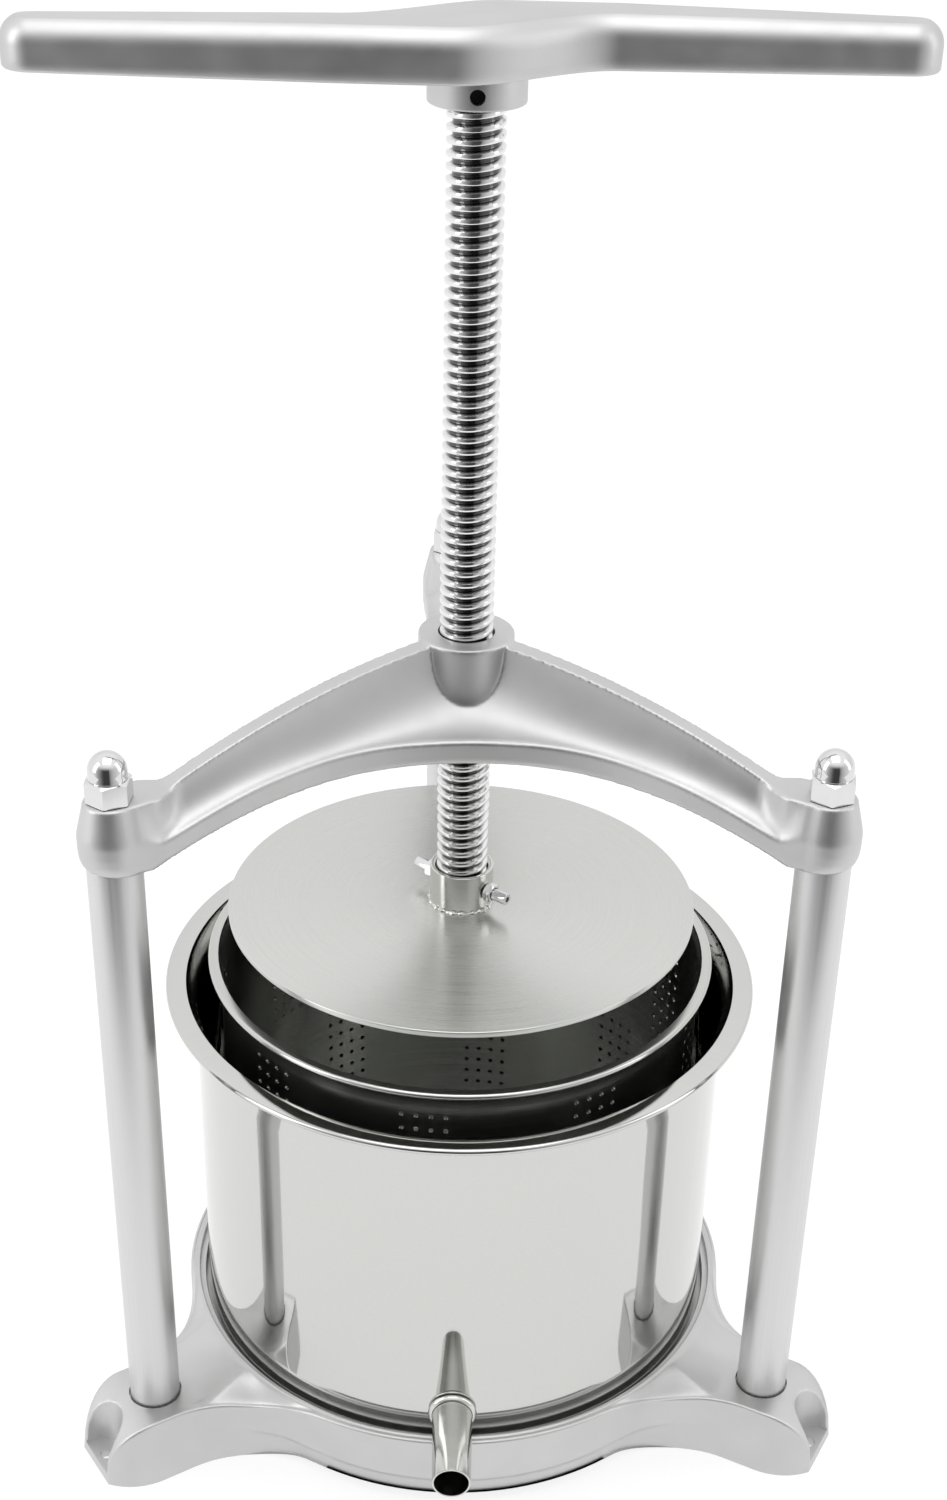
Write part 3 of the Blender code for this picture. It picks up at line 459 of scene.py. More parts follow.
def bright_material(name, tone, roughness, tint=(1.0, 1.0, 1.0)):
    """Bright plating with faint smears in its gloss."""
    colour = tuple(tone * part for part in tint)
    material, shader = new_material(name, colour, roughness)
    coords = object_coords(material)
    smear = noise_at(material, coords, 140.0, 4.0)
    varied(material, shader, "Roughness", smear, (0.35, roughness * 0.7), (0.75, roughness * 1.5))
    low = tuple(part * 0.96 for part in colour)
    varied(material, shader, "Base Color", smear, (0.3, low), (0.7, colour))
    return material


def thread_material(name, tone, roughness):
    """Bright plating on the crests, with painted shade that darkens the colour towards the thread's roots.
    """
    material, shader = new_material(name, (tone, tone, tone), roughness)
    split = add(material, "ShaderNodeSeparateXYZ")
    wire(material, polar_coords(material), split.inputs["Vector"])
    depth = add(material, "ShaderNodeMapRange")
    depth.inputs["From Min"].default_value = SCREW_ROOT_R
    depth.inputs["From Max"].default_value = SCREW_R
    wire(material, split.outputs["X"], depth.inputs["Value"])
    # painted shade: the colour falls from the crest's tone to near black in the thread's roots
    stops = [(0.0, 0.10), (0.12, 0.20), (0.40, tone * 0.9), (0.6, tone)]
    wire(material, ramped(material, depth.outputs["Result"], stops), shader.inputs["Base Color"])
    return material


def heading_of(material, split):
    """The angle about Z of a vector that has been split into its parts."""
    angle = add(material, "ShaderNodeMath", operation="ARCTAN2")
    wire(material, split.outputs["Y"], angle.inputs[0])
    wire(material, split.outputs["X"], angle.inputs[1])
    return angle.outputs["Value"]


def polar_coords(material):
    """Coordinates of radius, angle and height about the screw's axis."""
    split = add(material, "ShaderNodeSeparateXYZ")
    wire(material, object_coords(material), split.inputs["Vector"])
    flat = add(material, "ShaderNodeCombineXYZ")
    wire(material, split.outputs["X"], flat.inputs["X"])
    wire(material, split.outputs["Y"], flat.inputs["Y"])
    length = add(material, "ShaderNodeVectorMath", operation="LENGTH")
    wire(material, flat.outputs["Vector"], length.inputs[0])
    made = add(material, "ShaderNodeCombineXYZ")
    wire(material, length.outputs["Value"], made.inputs["X"])
    wire(material, heading_of(material, split), made.inputs["Y"])
    wire(material, split.outputs["Z"], made.inputs["Z"])
    return made.outputs["Vector"]


def spun_material(name, tone, roughness, anisotropy, tint, lines, relief):
    """Steel brushed round its axis: fine rings, and a highlight stretched across them."""
    colour = tuple(tone * part for part in tint)
    material, shader = new_material(name, colour, roughness)
    coords = polar_coords(material)
    rings = noise_at(material, scaled(material, coords, lines), 1.0, 3.0)
    low = tuple(part * 0.95 for part in colour)
    high = tuple(min(1.0, part * 1.03) for part in colour)
    varied(material, shader, "Base Color", rings, (0.3, low), (0.7, high))
    varied(material, shader, "Roughness", rings, (0.3, roughness * 0.85), (0.7, roughness * 1.2))
    bumped(material, shader, rings, 0.00002, relief)
    shader.inputs["Anisotropic"].default_value = anisotropy
    shader.inputs["Anisotropic Rotation"].default_value = 0.25
    tangent = add(material, "ShaderNodeTangent", direction_type="RADIAL", axis="Z")
    wire(material, tangent.outputs["Tangent"], shader.inputs["Tangent"])
    return material


def mirror_material(name, tone, roughness, tint):
    """Polished steel with a faint, long ripple of the rolled sheet."""
    colour = tuple(tone * part for part in tint)
    material, shader = new_material(name, colour, roughness)
    coords = polar_coords(material)
    ripple = noise_at(material, scaled(material, coords, (1.0, 9.0, 6.0)), 1.0, 2.0)
    bumped(material, shader, ripple, 0.00040, 0.25)
    fine = noise_at(material, scaled(material, coords, (1.0, 60.0, 900.0)), 1.0, 3.0)
    varied(material, shader, "Roughness", fine, (0.3, roughness * 0.7), (0.8, roughness * 1.6))
    low = tuple(part * 0.98 for part in colour)
    varied(material, shader, "Base Color", fine, (0.3, low), (0.7, colour))
    return material


CAST = cast_material("cast_aluminium_looks", 0.60, 0.44)
TUBE = tube_material("satin_tube_looks", 0.68, 0.40, 0.9)
CHROME = bright_material("chrome_looks", 0.72, 0.07)
THREAD = thread_material("plated_thread_looks", 0.80, 0.10)
MIRROR = mirror_material("mirror_steel_looks", 0.62, 0.05, (1.0, 1.0, 0.975))
STEEL_TINT = (0.99, 1.0, 0.965)
SPUN = spun_material("spun_disc_looks", 0.66, 0.30, 0.80, STEEL_TINT, (2600.0, 1.0, 2600.0), 0.04)
BASKET = spun_material("basket_steel_looks", 0.60, 0.20, 0.4, STEEL_TINT, (1.0, 1.0, 2200.0), 0.04)
STEEL = bright_material("turned_steel_looks", 0.66, 0.16, (1.0, 1.0, 0.96))
BRONZE = bright_material("bronze_looks", 0.55, 0.35, (1.0, 0.78, 0.42))
ZINC = bright_material("zinc_looks", 0.58, 0.32, (0.98, 0.99, 1.0))
# near-black colour for the handle's pin: painted shade standing for the dark of the hole it sits in
PIN_HOLE_SHADE = bright_material("pin_painted_shade_looks", 0.03, 0.45)


# ---------------------------------------------------------------- base casting


def foot_half(reach, end_half, tip_start, lobe_half, ring, fillet):
    """Half the outline of the base: foot end, foot side, neck fillet and a share of the ring."""
    across = lobe_half + fillet
    along = sqrt((ring + fillet) ** 2 - across**2)
    tip_start = max(tip_start, along + 0.0004)
    drop = lobe_half - end_half
    tip_r = ((reach - tip_start) ** 2 + drop**2) / (2 * drop)
    start = asin(max(-1.0, (tip_r - drop) / tip_r)) * 180 / pi
    tip = arc((tip_start, lobe_half - tip_r), tip_r, start, 90, 9)
    ring_start = atan2(across, along) * 180 / pi
    neck = arc((along, across), fillet, 270, 180 + ring_start, 18)
    middle = arc((0, 0), ring, ring_start, 60, 14)
    end = [(reach, end_half * i / 4) for i in range(4)]
    return end + tip + neck + middle[1:]


def off_axis(x, y):
    """Degrees from the nearest lobe's axis."""
    a = (atan2(y, x) * 180 / pi - 90) % 120
    return min(a, 120 - a)


def skirt(x, y):
    return SKIRT_Z * smooth(off_axis(x, y), 11, 27)


def deck_height(x, y, edge_r):
    """Height of the top surface: level at the feet, up to the lip at the ring, down at the feet's ends."""
    r = hypot(x, y)
    off = off_axis(x, y)
    by_angle = smooth(off, 11, 30)
    inner_r = LEDGE_R + LIP_WIDTH
    limit = max(inner_r + 0.001, min(DECK_FLAT_R + 0.006, edge_r))
    by_radius = (1 - min(1.0, max(0.0, (r - inner_r) / (limit - inner_r)))) ** 1.4
    height = mix(DECK_Z, LIP_Z, 1 - (1 - by_angle) * (1 - by_radius))
    reach = r * cos(radians(off))
    q = min(0.999, max(0.0, (reach - NOSE_START) / (FOOT_REACH - NOSE_START)))
    return height - (DECK_Z - NOSE_FOOT) * (1 - sqrt(1 - q * q))


NOSE_START = 0.1840     # where the deck starts to fall to the foot's end
NOSE_FOOT = 0.0040
SIDE_ROUND = 0.0014     # round between a foot's side and its top


def drawn_in(outline):
    """Unit directions that point in from each point of a closed outline."""
    count = len(outline)
    made = []
    for i in range(count):
        ax, ay = outline[i - 1]
        bx, by = outline[(i + 1) % count]
        dx, dy = bx - ax, by - ay
        size = hypot(dx, dy)
        made.append((-dy / size, dx / size))
    return made


def base_loops():
    """Loops of the base from the centre of its underside, out, over the rim and in to the well."""
    inner = three_lobes(
        foot_half(
            POCKET_CENTRE - POCKET_HALF - BASE_WALL,
            FOOT_END_HALF - BASE_WALL,
            DECK_REACH - 3.6 * BASE_WALL,
            LOBE_HALF + LOBE_DRAFT - BASE_WALL,
            RING_R - RING_DRAFT - BASE_WALL,
            NECK_FILLET,
        )
    )
    foot = three_lobes(
        foot_half(
            FOOT_REACH,
            FOOT_END_HALF,
            FOOT_SIDE_REACH,
            LOBE_HALF + LOBE_DRAFT,
            RING_R - RING_DRAFT,
            NECK_FILLET,
        )
    )
    deck = three_lobes(
        foot_half(
            FOOT_REACH - 0.0012,
            FOOT_END_HALF - 0.0006,
            FOOT_SIDE_REACH,
            LOBE_HALF,
            RING_R,
            NECK_FILLET,
        )
    )
    angles = [atan2(y, x) for x, y in deck]

    def circle(radius, height):
        return [(radius * cos(a), radius * sin(a), height) for a in angles]

    roof = DECK_Z - BASE_ROOF
    loops = [
        circle(CENTRE_BOSS_R - 0.0008, 0.0),
        circle(CENTRE_BOSS_R, 0.0008),
        circle(CENTRE_BOSS_R, roof),
        [(x * 0.97, y * 0.97, roof) for x, y in inner],
        [(x, y, roof - 0.0030) for x, y in inner],
        [(x, y, skirt(x, y)) for x, y in inner],
        [(x * 0.9975, y * 0.9975, skirt(x, y)) for x, y in foot],
    ]
    for level in WALL_LEVELS:
        loop = []
        for (fx, fy), (dx, dy) in zip(foot, deck):
            low = skirt(fx, fy)
            top = deck_height(dx, dy, hypot(dx, dy)) - SIDE_ROUND
            x, y, z = mix(fx, dx, level), mix(fy, dy, level), mix(low, top, level)
            # the lower band is set back a little under a soft crease
            band = (1 - smooth(z, CREASE_Z - 0.0009, CREASE_Z + 0.0009)) * (1 - foot_fade(dx, dy))
            keep = 1 - CREASE_DEPTH * band / hypot(x, y)
            loop.append((x * keep, y * keep, z))
        loops.append(loop)
    inward = drawn_in(deck)
    for turn in (15, 30, 45, 60, 75, 90):
        inset = SIDE_ROUND * (1 - cos(radians(turn)))
        drop = SIDE_ROUND * (1 - sin(radians(turn)))
        loop = []
        for (x, y), (nx, ny) in zip(deck, inward):
            px, py = x + nx * inset, y + ny * inset
            loop.append((px, py, deck_height(px, py, hypot(px, py)) - drop))
        loops.append(loop)
    last = [(x, y) for x, y, z in loops[-1]]
    ring = LEDGE_R + LIP_WIDTH + 0.0006
    outer = circle(ring, LIP_Z - 0.0004)
    for step in range(1, SHELF_STEPS):
        part = step / SHELF_STEPS
        loop = []
        for a, b in zip(last, outer):
            x, y = mix(a[0], b[0], part), mix(a[1], b[1], part)
            loop.append((x, y, min(deck_height(x, y, hypot(*a)), LIP_Z - 0.0004)))
        loops.append(loop)
    loops += [
        outer,
        circle(LEDGE_R + LIP_WIDTH, LIP_Z - 0.0003),
        circle(LEDGE_R + LIP_WIDTH - 0.0003, LIP_Z - 0.00005),
        circle(LEDGE_R + LIP_WIDTH - 0.0006, LIP_Z),
        circle(LEDGE_R + 0.0003, LIP_Z),
        circle(LEDGE_R, LIP_Z - 0.0003),
        circle(LEDGE_R, LIP_Z - LEDGE_DROP),
        circle(WELL_R + 0.0003, LIP_Z - LEDGE_DROP),
        circle(WELL_R, LIP_Z - LEDGE_DROP - 0.0003),
        circle(WELL_R, WELL_FLOOR_Z),
    ]
    return loops


SHELF_STEPS = 25        # loops from the deck's edge in to the lip
CREASE_Z = 0.0165
CREASE_DEPTH = 0.0014
WALL_LEVELS = [0.0, 0.03] + [i / 24 for i in range(2, 25)]


def foot_fade(x, y):
    """1 at the foot's end, where the crease has faded out, and 0 on the round middle."""
    return 1 - smooth(off_axis(x, y), 8.5, 14.0)


def pocket_mesh(degrees):
    outline = arc((POCKET_CENTRE, 0), POCKET_HALF, 90, 270, 33)
    outline += [(FOOT_REACH + 0.02, -POCKET_HALF), (FOOT_REACH + 0.02, POCKET_HALF)]
    loops = [[(x, y, z) for x, y in outline] for z in (PAD_T, LIP_Z + 0.01)]
    return moved(loft_mesh("pocket", loops), Matrix.Rotation(radians(degrees), 4, "Z"))


def soften_pockets(mesh):
    """Round the edge where each pocket's wall meets the foot's top."""
    work = bmesh.new()
    work.from_mesh(mesh)
    chosen = []
    for edge in work.edges:
        if len(edge.link_faces) != 2:
            continue
        ends = [vert.co for vert in edge.verts]
        if min(co.z for co in ends) < PAD_T + 0.0015:
            continue
        if abs((ends[0] - ends[1]).normalized().z) > 0.999:
            continue
        near = 0
        for co in ends:
            r = hypot(co.x, co.y)
            off = radians(off_axis(co.x, co.y))
            along, across = r * cos(off), r * sin(off)
            if along < POCKET_CENTRE:
                miss = abs(hypot(along - POCKET_CENTRE, across) - POCKET_HALF)
            else:
                miss = abs(across - POCKET_HALF)
            near += miss < 0.00012
        if near == 2 and edge.calc_face_angle(0.0) > radians(20):
            chosen.append(edge)
    bmesh.ops.bevel(work, geom=chosen, offset=0.0009, segments=3, affect="EDGES", profile=0.5)
    work.to_mesh(mesh)
    work.free()
    return mesh


def make_base():
    mesh = loft_mesh("base", base_loops())
    tools = []
    for degrees in COLUMN_ANGLES.values():
        spot = polar(COLUMN_CIRCLE, degrees)
        place = Matrix.Translation(spot)
        tools.append(pocket_mesh(degrees))
        seat_r = COLUMN_R + COLUMN_SEAT_FIT
        seat = prism_mesh("seat", 64, seat_r, DECK_Z - COLUMN_SEAT_DEPTH, LIP_Z + 0.01, 2.0)
        tools.append(moved(seat, place))
    mesh = boolean(mesh, joined("tools", *tools))
    mesh = soften_pockets(mesh)
    tools = []
    for degrees in COLUMN_ANGLES.values():
        place = Matrix.Translation(polar(COLUMN_CIRCLE, degrees))
        tools.append(moved(prism_mesh("rod", 32, ROD_R + 0.0005, 0.010, DECK_Z + 0.01, 2.0), place))
        place = Matrix.Translation(polar(BOLT_CIRCLE, degrees))
        tools.append(moved(prism_mesh("bolt", 48, BOLT_HOLE_R, -0.01, PAD_T + 0.01, 2.0), place))
    mesh = boolean(mesh, joined("tools", *tools))
    piece("base_looks", mesh, "frame", CAST, ["base_casting"], 38)


# ---------------------------------------------------------------- columns and cap nuts


def make_columns():
    for name, degrees in COLUMN_ANGLES.items():
        place = Matrix.Translation(polar(COLUMN_CIRCLE, degrees))
        inner = ROD_R + 0.0010
        profile = rounded(
            [
                (inner, COLUMN_TOP_Z),
                (COLUMN_R, COLUMN_TOP_Z),
                (COLUMN_R, (COLUMN_TOP_Z + COLUMN_FOOT_Z) / 2),
                (COLUMN_R, COLUMN_FOOT_Z),
                (inner, COLUMN_FOOT_Z),
            ],
            0.0005,
            3,
        )
        mesh = moved(turned_mesh("column", profile, 96), place)
        piece(f"column_looks_{name}", mesh, "frame", TUBE, [f"column_{name}"])
        make_cap_nut(name, degrees, place)


def make_cap_nut(name, degrees, place):
    """A domed nut: chamfered hexagon, neck and polished dome."""
    seat = CAP_SEAT_Z
    hex_top = seat + NUT_HEIGHT
    corner = NUT_FLATS / sqrt(3)
    bevel = 0.0015
    cone = [
        (0, hex_top),
        (corner - bevel * 1.3, hex_top),
        (corner + 0.001, hex_top - bevel),
        (corner + 0.001, seat + 0.0006),
        (corner - 0.0012, seat - 0.0004),
        (0, seat - 0.0004),
    ]
    nut = prism_mesh("hex", 6, corner, seat, hex_top, degrees + CAP_NUT_TURN)
    nut = boolean(nut, turned_mesh("cone", cone, 96), "INTERSECT")
    wall = DOME_HEIGHT - DOME_R
    middle = hex_top + wall
    dome = [(DOME_R * sin(radians(d)), middle + DOME_R * cos(radians(d))) for d in range(0, 91, 5)]
    dome[0] = (0, dome[0][1])
    dome += [
        (DOME_R, hex_top + 0.0012),
        (DOME_R + 0.0001, hex_top + 0.0008),
        (DOME_R - 0.0005, hex_top + 0.0003),
        (DOME_R - 0.0005, hex_top - 0.002),
        (0, hex_top - 0.002),
    ]
    nut = boolean(nut, turned_mesh("dome", dome, 96), "UNION")
    nut = boolean(nut, prism_mesh("bore", 32, ROD_R + 0.0005, seat - 0.01, hex_top + 0.006, 2.0))
    nut = moved(nut, place)
    piece(f"cap_nut_looks_{name}", nut, "frame", CHROME, [f"cap_nut_{name}"], 24)


# ---------------------------------------------------------------- bridge casting


def arm_half_outlines():
    """Matching half outlines of an arm: the bottom flange's edge and the top rib's edge."""
    boss = arc((COLUMN_CIRCLE, 0), BOSS_R, 0, 90, 12)
    crown = arc((COLUMN_CIRCLE, 0), BOSS_TOP_R, 0, 90, 12)
    tangent = (ARM_FLANGE_HALF + ARM_FILLET) / sqrt(3)
    platform = COLUMN_CIRCLE - PLATFORM_LENGTH
    near = NECK_NEAR
    stations = [mix(COLUMN_CIRCLE - 0.004, platform - 0.006, i / 9) for i in range(10)]
    stations += [mix(platform - 0.010, near, i / 16) for i in range(17)]
    flange = []
    rib = []
    for s in stations:
        flange.append((s, flange_half(s, tangent)))
        wide = mix(RIB_HALF, BOSS_TOP_R - 0.0006, smooth(s, platform - 0.006, platform + 0.010))
        rib.append((s, wide))
    middle = (ARM_FLANGE_HALF + ARM_FILLET) / sin(radians(60)) - ARM_FILLET
    last = middle * cos(radians(60))
    rib_end = sqrt(INNER_R**2 - RIB_HALF**2)
    start = atan2(RIB_HALF, rib_end) * 180 / pi
    for i in range(1, MIDDLE_POINTS + 1):
        s = mix(near, last, i / MIDDLE_POINTS)
        flange.append((s, flange_half(s, tangent)))
    for i in range(1, 4):
        rib.append((mix(near, rib_end, i / 4), RIB_HALF))
    rib += arc((0, 0), INNER_R, start, 60, MIDDLE_POINTS - 3)
    return boss + flange, crown + rib


NECK_NEAR = 0.0460     # where the arm's flanks start to sweep round to the next arm
MIDDLE_POINTS = 16
INNER_R = 0.0150       # the ribs' sides are drawn in to this radius, inside the hub


def flange_half(s, tangent):
    if s >= tangent:
        return ARM_FLANGE_HALF
    return ARM_FLANGE_HALF + ARM_FILLET - sqrt(ARM_FILLET**2 - (tangent - s) ** 2)


def arm_underside(s):
    """Height of the arm's underside at a distance from the screw's axis."""
    span = COLUMN_CIRCLE - ARM_START
    bow = ARM_BOTTOM_Z - ARM_RISE * (max(0.0, s - ARM_START) / span) ** 2
    reach = COLUMN_CIRCLE - COLUMN_R - ARM_DIP_START
    dip = ARM_DIP * (max(0.0, s - ARM_DIP_START) / reach) ** 1.6
    return max(BOSS_BOTTOM_Z, bow - dip)


def flange_top(s):
    return arm_underside(s) + mix(ARM_FLANGE_T, ARM_FLANGE_END_T, smooth(s, ARM_START, COLUMN_CIRCLE))


def boss_share(s):
    """0 along the arm and 1 on the boss, where the sides are plain."""
    return smooth(s, COLUMN_CIRCLE - 0.018, COLUMN_CIRCLE - 0.006)


def flange_edge(s):
    """Height of the flange's top edge, which runs round the boss at its widest part."""
    return mix(flange_top(s), BOSS_BOTTOM_Z + BOSS_EDGE, boss_share(s))


def rib_top(s):
    """Height of the rib along the arm: a bow from the hub's top down to the nut's seat."""
    platform = COLUMN_CIRCLE - PLATFORM_LENGTH
    t = min(1.0, max(0.0, (s - HUB_R) / (platform - HUB_R)))
    crest = HUB_TOP_Z - RIB_TOP_DROP
    return crest - (crest - BOSS_TOP_Z) * (0.36 * t + 0.64 * t * t)


def bridge_across(work, edge, half, left_over):
    """Span each arm from its left edge to its right edge, and return the ring left in the middle."""
    per_arm = len(edge) // 3
    tip = len(half) - 2
    last = len(half) - left_over
    ring = []
    for arm in range(3):
        first = arm * per_arm
        left = [edge[first + tip + k] for k in range(last + 1)]
        right = [edge[first + tip - k] for k in range(last + 1)]
        work.faces.new((left[0], left[1], right[1]))
        for k in range(1, last):
            work.faces.new((left[k], left[k + 1], right[k + 1], right[k]))
        ring += [edge[first + k] for k in range(tip - last + 1)]
        ring += [edge[first + k] for k in range(tip + last, per_arm)]
    return ring


def along(x, y):
    """Distance from the screw's axis along the nearest arm."""
    return max(x * cos(radians(d)) + y * sin(radians(d)) for d in COLUMN_ANGLES.values())


def flange_distance(x, y):
    """Distance in from the swept edge of the flange, near the middle of the bridge."""
    reach = (ARM_FLANGE_HALF + ARM_FILLET) / sin(radians(60))
    gaps = []
    for degrees in COLUMN_ANGLES.values():
        centre = polar(reach, degrees + 60)
        gaps.append(hypot(x - centre.x, y - centre.y) - ARM_FILLET)
    return max(0.0, min(gaps))


def rib_distance(x, y):
    """Distance to the nearest rib's side, eased where two ribs are equally near."""
    ease = 0.0045
    total = 0.0
    for degrees in COLUMN_ANGLES.values():
        c, t = cos(radians(degrees)), sin(radians(degrees))
        reach = x * c + y * t
        across = abs(y * c - x * t)
        miss = across if reach > 0 else hypot(x, y)
        total += exp(-max(0.0, miss - RIB_HALF) / ease)
    return max(0.0, -ease * log(total))


def flank_height(x, y, share):
    """Height of the concave flank; share is the way in from the flange's edge to the rib."""
    s = along(x, y)
    inward = flange_distance(x, y)
    apart = inward + rib_distance(x, y)
    near = inward / apart if apart > 1e-9 else 1.0
    u = mix(near, share, smooth(s, 0.055, 0.085))
    low = flange_edge(s)
    rise = mix(1 - sqrt(max(0.0, 1 - u * u)), u, boss_share(s))
    return mix(low, rib_top(s), rise)


def foot_inset(s):
    """How far the underside's edge is rounded in, which is more on the boss."""
    return mix(BOSS_FOOT_INSET, BOSS_ROUND_IN, boss_share(s))


def foot_height(s):
    return mix(BOSS_FOOT_INSET, BOSS_ROUND_UP, boss_share(s))


BOSS_ROUND_IN = 0.0028
BOSS_ROUND_UP = 0.0085


def bridge_mesh():
    """Skin the bridge: flange, concave flanks and the rib tops across each arm."""
    half_flange, half_rib = arm_half_outlines()
    flange = three_lobes(half_flange)
    rib = three_lobes(half_rib)
    loops = []
    for degrees in (90, 60, 30, 0):
        loop = []
        for x, y in flange:
            s = along(x, y)
            turned_in = foot_inset(s) * (1 - cos(radians(degrees)))
            raised = foot_height(s) * (1 - sin(radians(degrees)))
            share = 1 - turned_in / hypot(x, y)
            loop.append((x * share, y * share, arm_underside(s) + raised))
        loops.append(loop)
    loops.append([(x, y, flange_edge(along(x, y)) - 0.0008) for x, y in flange])
    for i in range(1, 20):
        t = i / 20
        sideways = sin(t * pi / 2)
        loop = []
        for (fx, fy), (rx, ry) in zip(flange, rib):
            x, y = mix(fx, rx, sideways), mix(fy, ry, sideways)
            loop.append((x, y, flank_height(x, y, sideways)))
        loops.append(loop)
    top = []
    for x, y in rib:
        top.append((x, y, rib_top(along(x, y)) if is_rib(x, y) else flank_height(x, y, 1.0)))
    loops.append(top)
    work = bmesh.new()
    rows = [[work.verts.new(point) for point in loop] for loop in loops]
    skin(work, rows)
    underside = bridge_across(work, rows[0], half_rib, MIDDLE_POINTS)
    work.faces.new(list(reversed(underside)))
    hub_ring = bridge_across(work, rows[-1], half_rib, MIDDLE_POINTS - 3)
    work.faces.new(hub_ring)
    return mesh_from("bridge", work)


def is_rib(x, y):
    """Whether a point of the rib's outline lies on an arm's rib or boss rather than on the hub's side."""
    r = hypot(x, y)
    return r > INNER_R + 0.0002 or r * sin(radians(off_axis(x, y))) < RIB_HALF * 1.02


def softened(mesh, voxel, rounds):
    """Remesh a casting finely and relax it, which rounds its edges and fills its inner corners."""
    item = bpy.data.objects.new("soft", mesh)
    bpy.context.scene.collection.objects.link(item)
    remesh = item.modifiers.new("remesh", "REMESH")
    remesh.mode = "VOXEL"
    remesh.voxel_size = voxel
    relax = item.modifiers.new("relax", "SMOOTH")
    relax.factor = 0.5
    relax.iterations = rounds
    return baked(item)


def make_bridge():
    foot = ARM_BOTTOM_Z + 0.004
    hub = rounded([(0, HUB_TOP_Z), (HUB_R, HUB_TOP_Z), (HUB_R, foot), (0, foot)], 0.0006)
    mesh = boolean(bridge_mesh(), turned_mesh("hub", hub, 128), "UNION")
    mesh = softened(mesh, BRIDGE_VOXEL, BRIDGE_ROUNDS)
    mesh = boolean(mesh, prism_mesh("way", 96, SCREW_R + 0.0006, BOSS_BOTTOM_Z, HUB_TOP_Z + 0.01, 2.0))
    mesh = boolean(mesh, prism_mesh("seat", 96, SCREW_R + 0.0040, BOSS_BOTTOM_Z, HUB_TOP_Z - 0.005, 2.0))
    rods = []
    for degrees in COLUMN_ANGLES.values():
        rod = prism_mesh("rod", 32, ROD_R + 0.0005, BOSS_BOTTOM_Z - 0.01, BOSS_TOP_Z + 0.01, 2.0)
        rods.append(moved(rod, Matrix.Translation(polar(COLUMN_CIRCLE, degrees))))
    mesh = boolean(mesh, joined("rods", *rods))
    piece("bridge_looks", mesh, "frame", CAST, ["spider_casting"], 50)


BRIDGE_VOXEL = 0.0008
BRIDGE_ROUNDS = 4


# ---------------------------------------------------------------- screw and handle


def thread_mesh():
    """A right-hand trapezoidal thread, cut square at both ends."""
    steps = 48
    depth = SCREW_R - SCREW_ROOT_R
    crest = 0.36 * PITCH
    root = 0.30 * PITCH
    flank = (PITCH - crest - root) / 2
    soft = 0.12 * PITCH
    section = [
        (SCREW_R - 0.0002, 0.0),
        (SCREW_R, soft),
        (SCREW_R, crest - soft),
        (SCREW_R - 0.0002, crest),
        (SCREW_R - 0.25 * depth, crest + 0.25 * flank),
        (SCREW_ROOT_R + 0.25 * depth, crest + 0.75 * flank),
        (SCREW_ROOT_R + 0.0002, crest + flank),
        (SCREW_ROOT_R, crest + flank + soft),
        (SCREW_ROOT_R, crest + flank + root - soft),
        (SCREW_ROOT_R + 0.0002, crest + flank + root),
        (SCREW_ROOT_R + 0.25 * depth, crest + flank + root + 0.25 * flank),
        (SCREW_R - 0.25 * depth, crest + flank + root + 0.75 * flank),
    ]
    turns = int((SCREW_TOP_Z - SCREW_FOOT_Z) / PITCH) + 3
    work = bmesh.new()
    columns = []
    for k in range(turns * steps + 1):
        angle = 2 * pi * k / steps
        base = SCREW_FOOT_Z - PITCH + PITCH * k / steps
        columns.append([work.verts.new((r * cos(angle), r * sin(angle), base + z)) for r, z in section])
    count = len(section)
    for k in range(len(columns) - 1):
        for j in range(count - 1):
            work.faces.new((columns[k][j], columns[k + 1][j], columns[k + 1][j + 1], columns[k][j + 1]))
        if k + 1 + steps < len(columns):
            above, after = columns[k + steps], columns[k + 1 + steps]
            work.faces.new((columns[k][count - 1], columns[k + 1][count - 1], after[0], above[0]))
    for height, way in ((SCREW_FOOT_Z, -1), (SCREW_TOP_Z, 1)):
        cut = bmesh.ops.bisect_plane(
            work,
            geom=work.verts[:] + work.edges[:] + work.faces[:],
            plane_co=(0, 0, height),
            plane_no=(0, 0, way),
            clear_outer=True,
        )
        edges = [item for item in cut["geom_cut"] if isinstance(item, bmesh.types.BMEdge)]
        bmesh.ops.contextual_create(work, geom=edges)
    return mesh_from("thread", work)


def make_screw():
    piece("screw_looks", thread_mesh(), "screw", THREAD, ["press_screw"], 40)


def handle_share(x):
    """0 up to the arm's bend and 1 at its tip."""
    span = HANDLE_REACH - HANDLE_TIP_WIDTH / 2 - HANDLE_BEND_END
    return min(1.0, max(0.0, (abs(x) - HANDLE_BEND_END) / span))


def handle_outline(inset):
    """Outline of the two-armed bar seen from above, drawn in by inset all round."""
    tip = HANDLE_TIP_WIDTH / 2
    xs = [mix(tip - HANDLE_REACH, -HANDLE_BEND_END, i / 10) for i in range(10)]
    xs += [mix(-HANDLE_BEND_END, HANDLE_BEND_START, i / 8) for i in range(8)]
    xs += [mix(HANDLE_BEND_START, HANDLE_BEND_END, i / 30) for i in range(31)]
    xs += [mix(HANDLE_BEND_END, HANDLE_REACH - tip, i / 10) for i in range(1, 10)]
    front = []
    for x in xs:
        half = mix(HANDLE_ROOT_WIDTH, HANDLE_TIP_WIDTH, handle_share(x)) / 2
        sweep = smooth(x, HANDLE_BEND_START, HANDLE_BEND_END)
        front.append((x, mix(-HANDLE_ARM_OFFSET, HANDLE_ARM_OFFSET, sweep) - half))
    end = arc((HANDLE_REACH - tip, HANDLE_ARM_OFFSET), tip, -90, 90, 33)
    half_turn = front + end[:-1]
    outline = half_turn + [(-x, -y) for x, y in half_turn]
    return [(x + nx * inset, y + ny * inset) for (x, y), (nx, ny) in zip(outline, drawn_in(outline))]


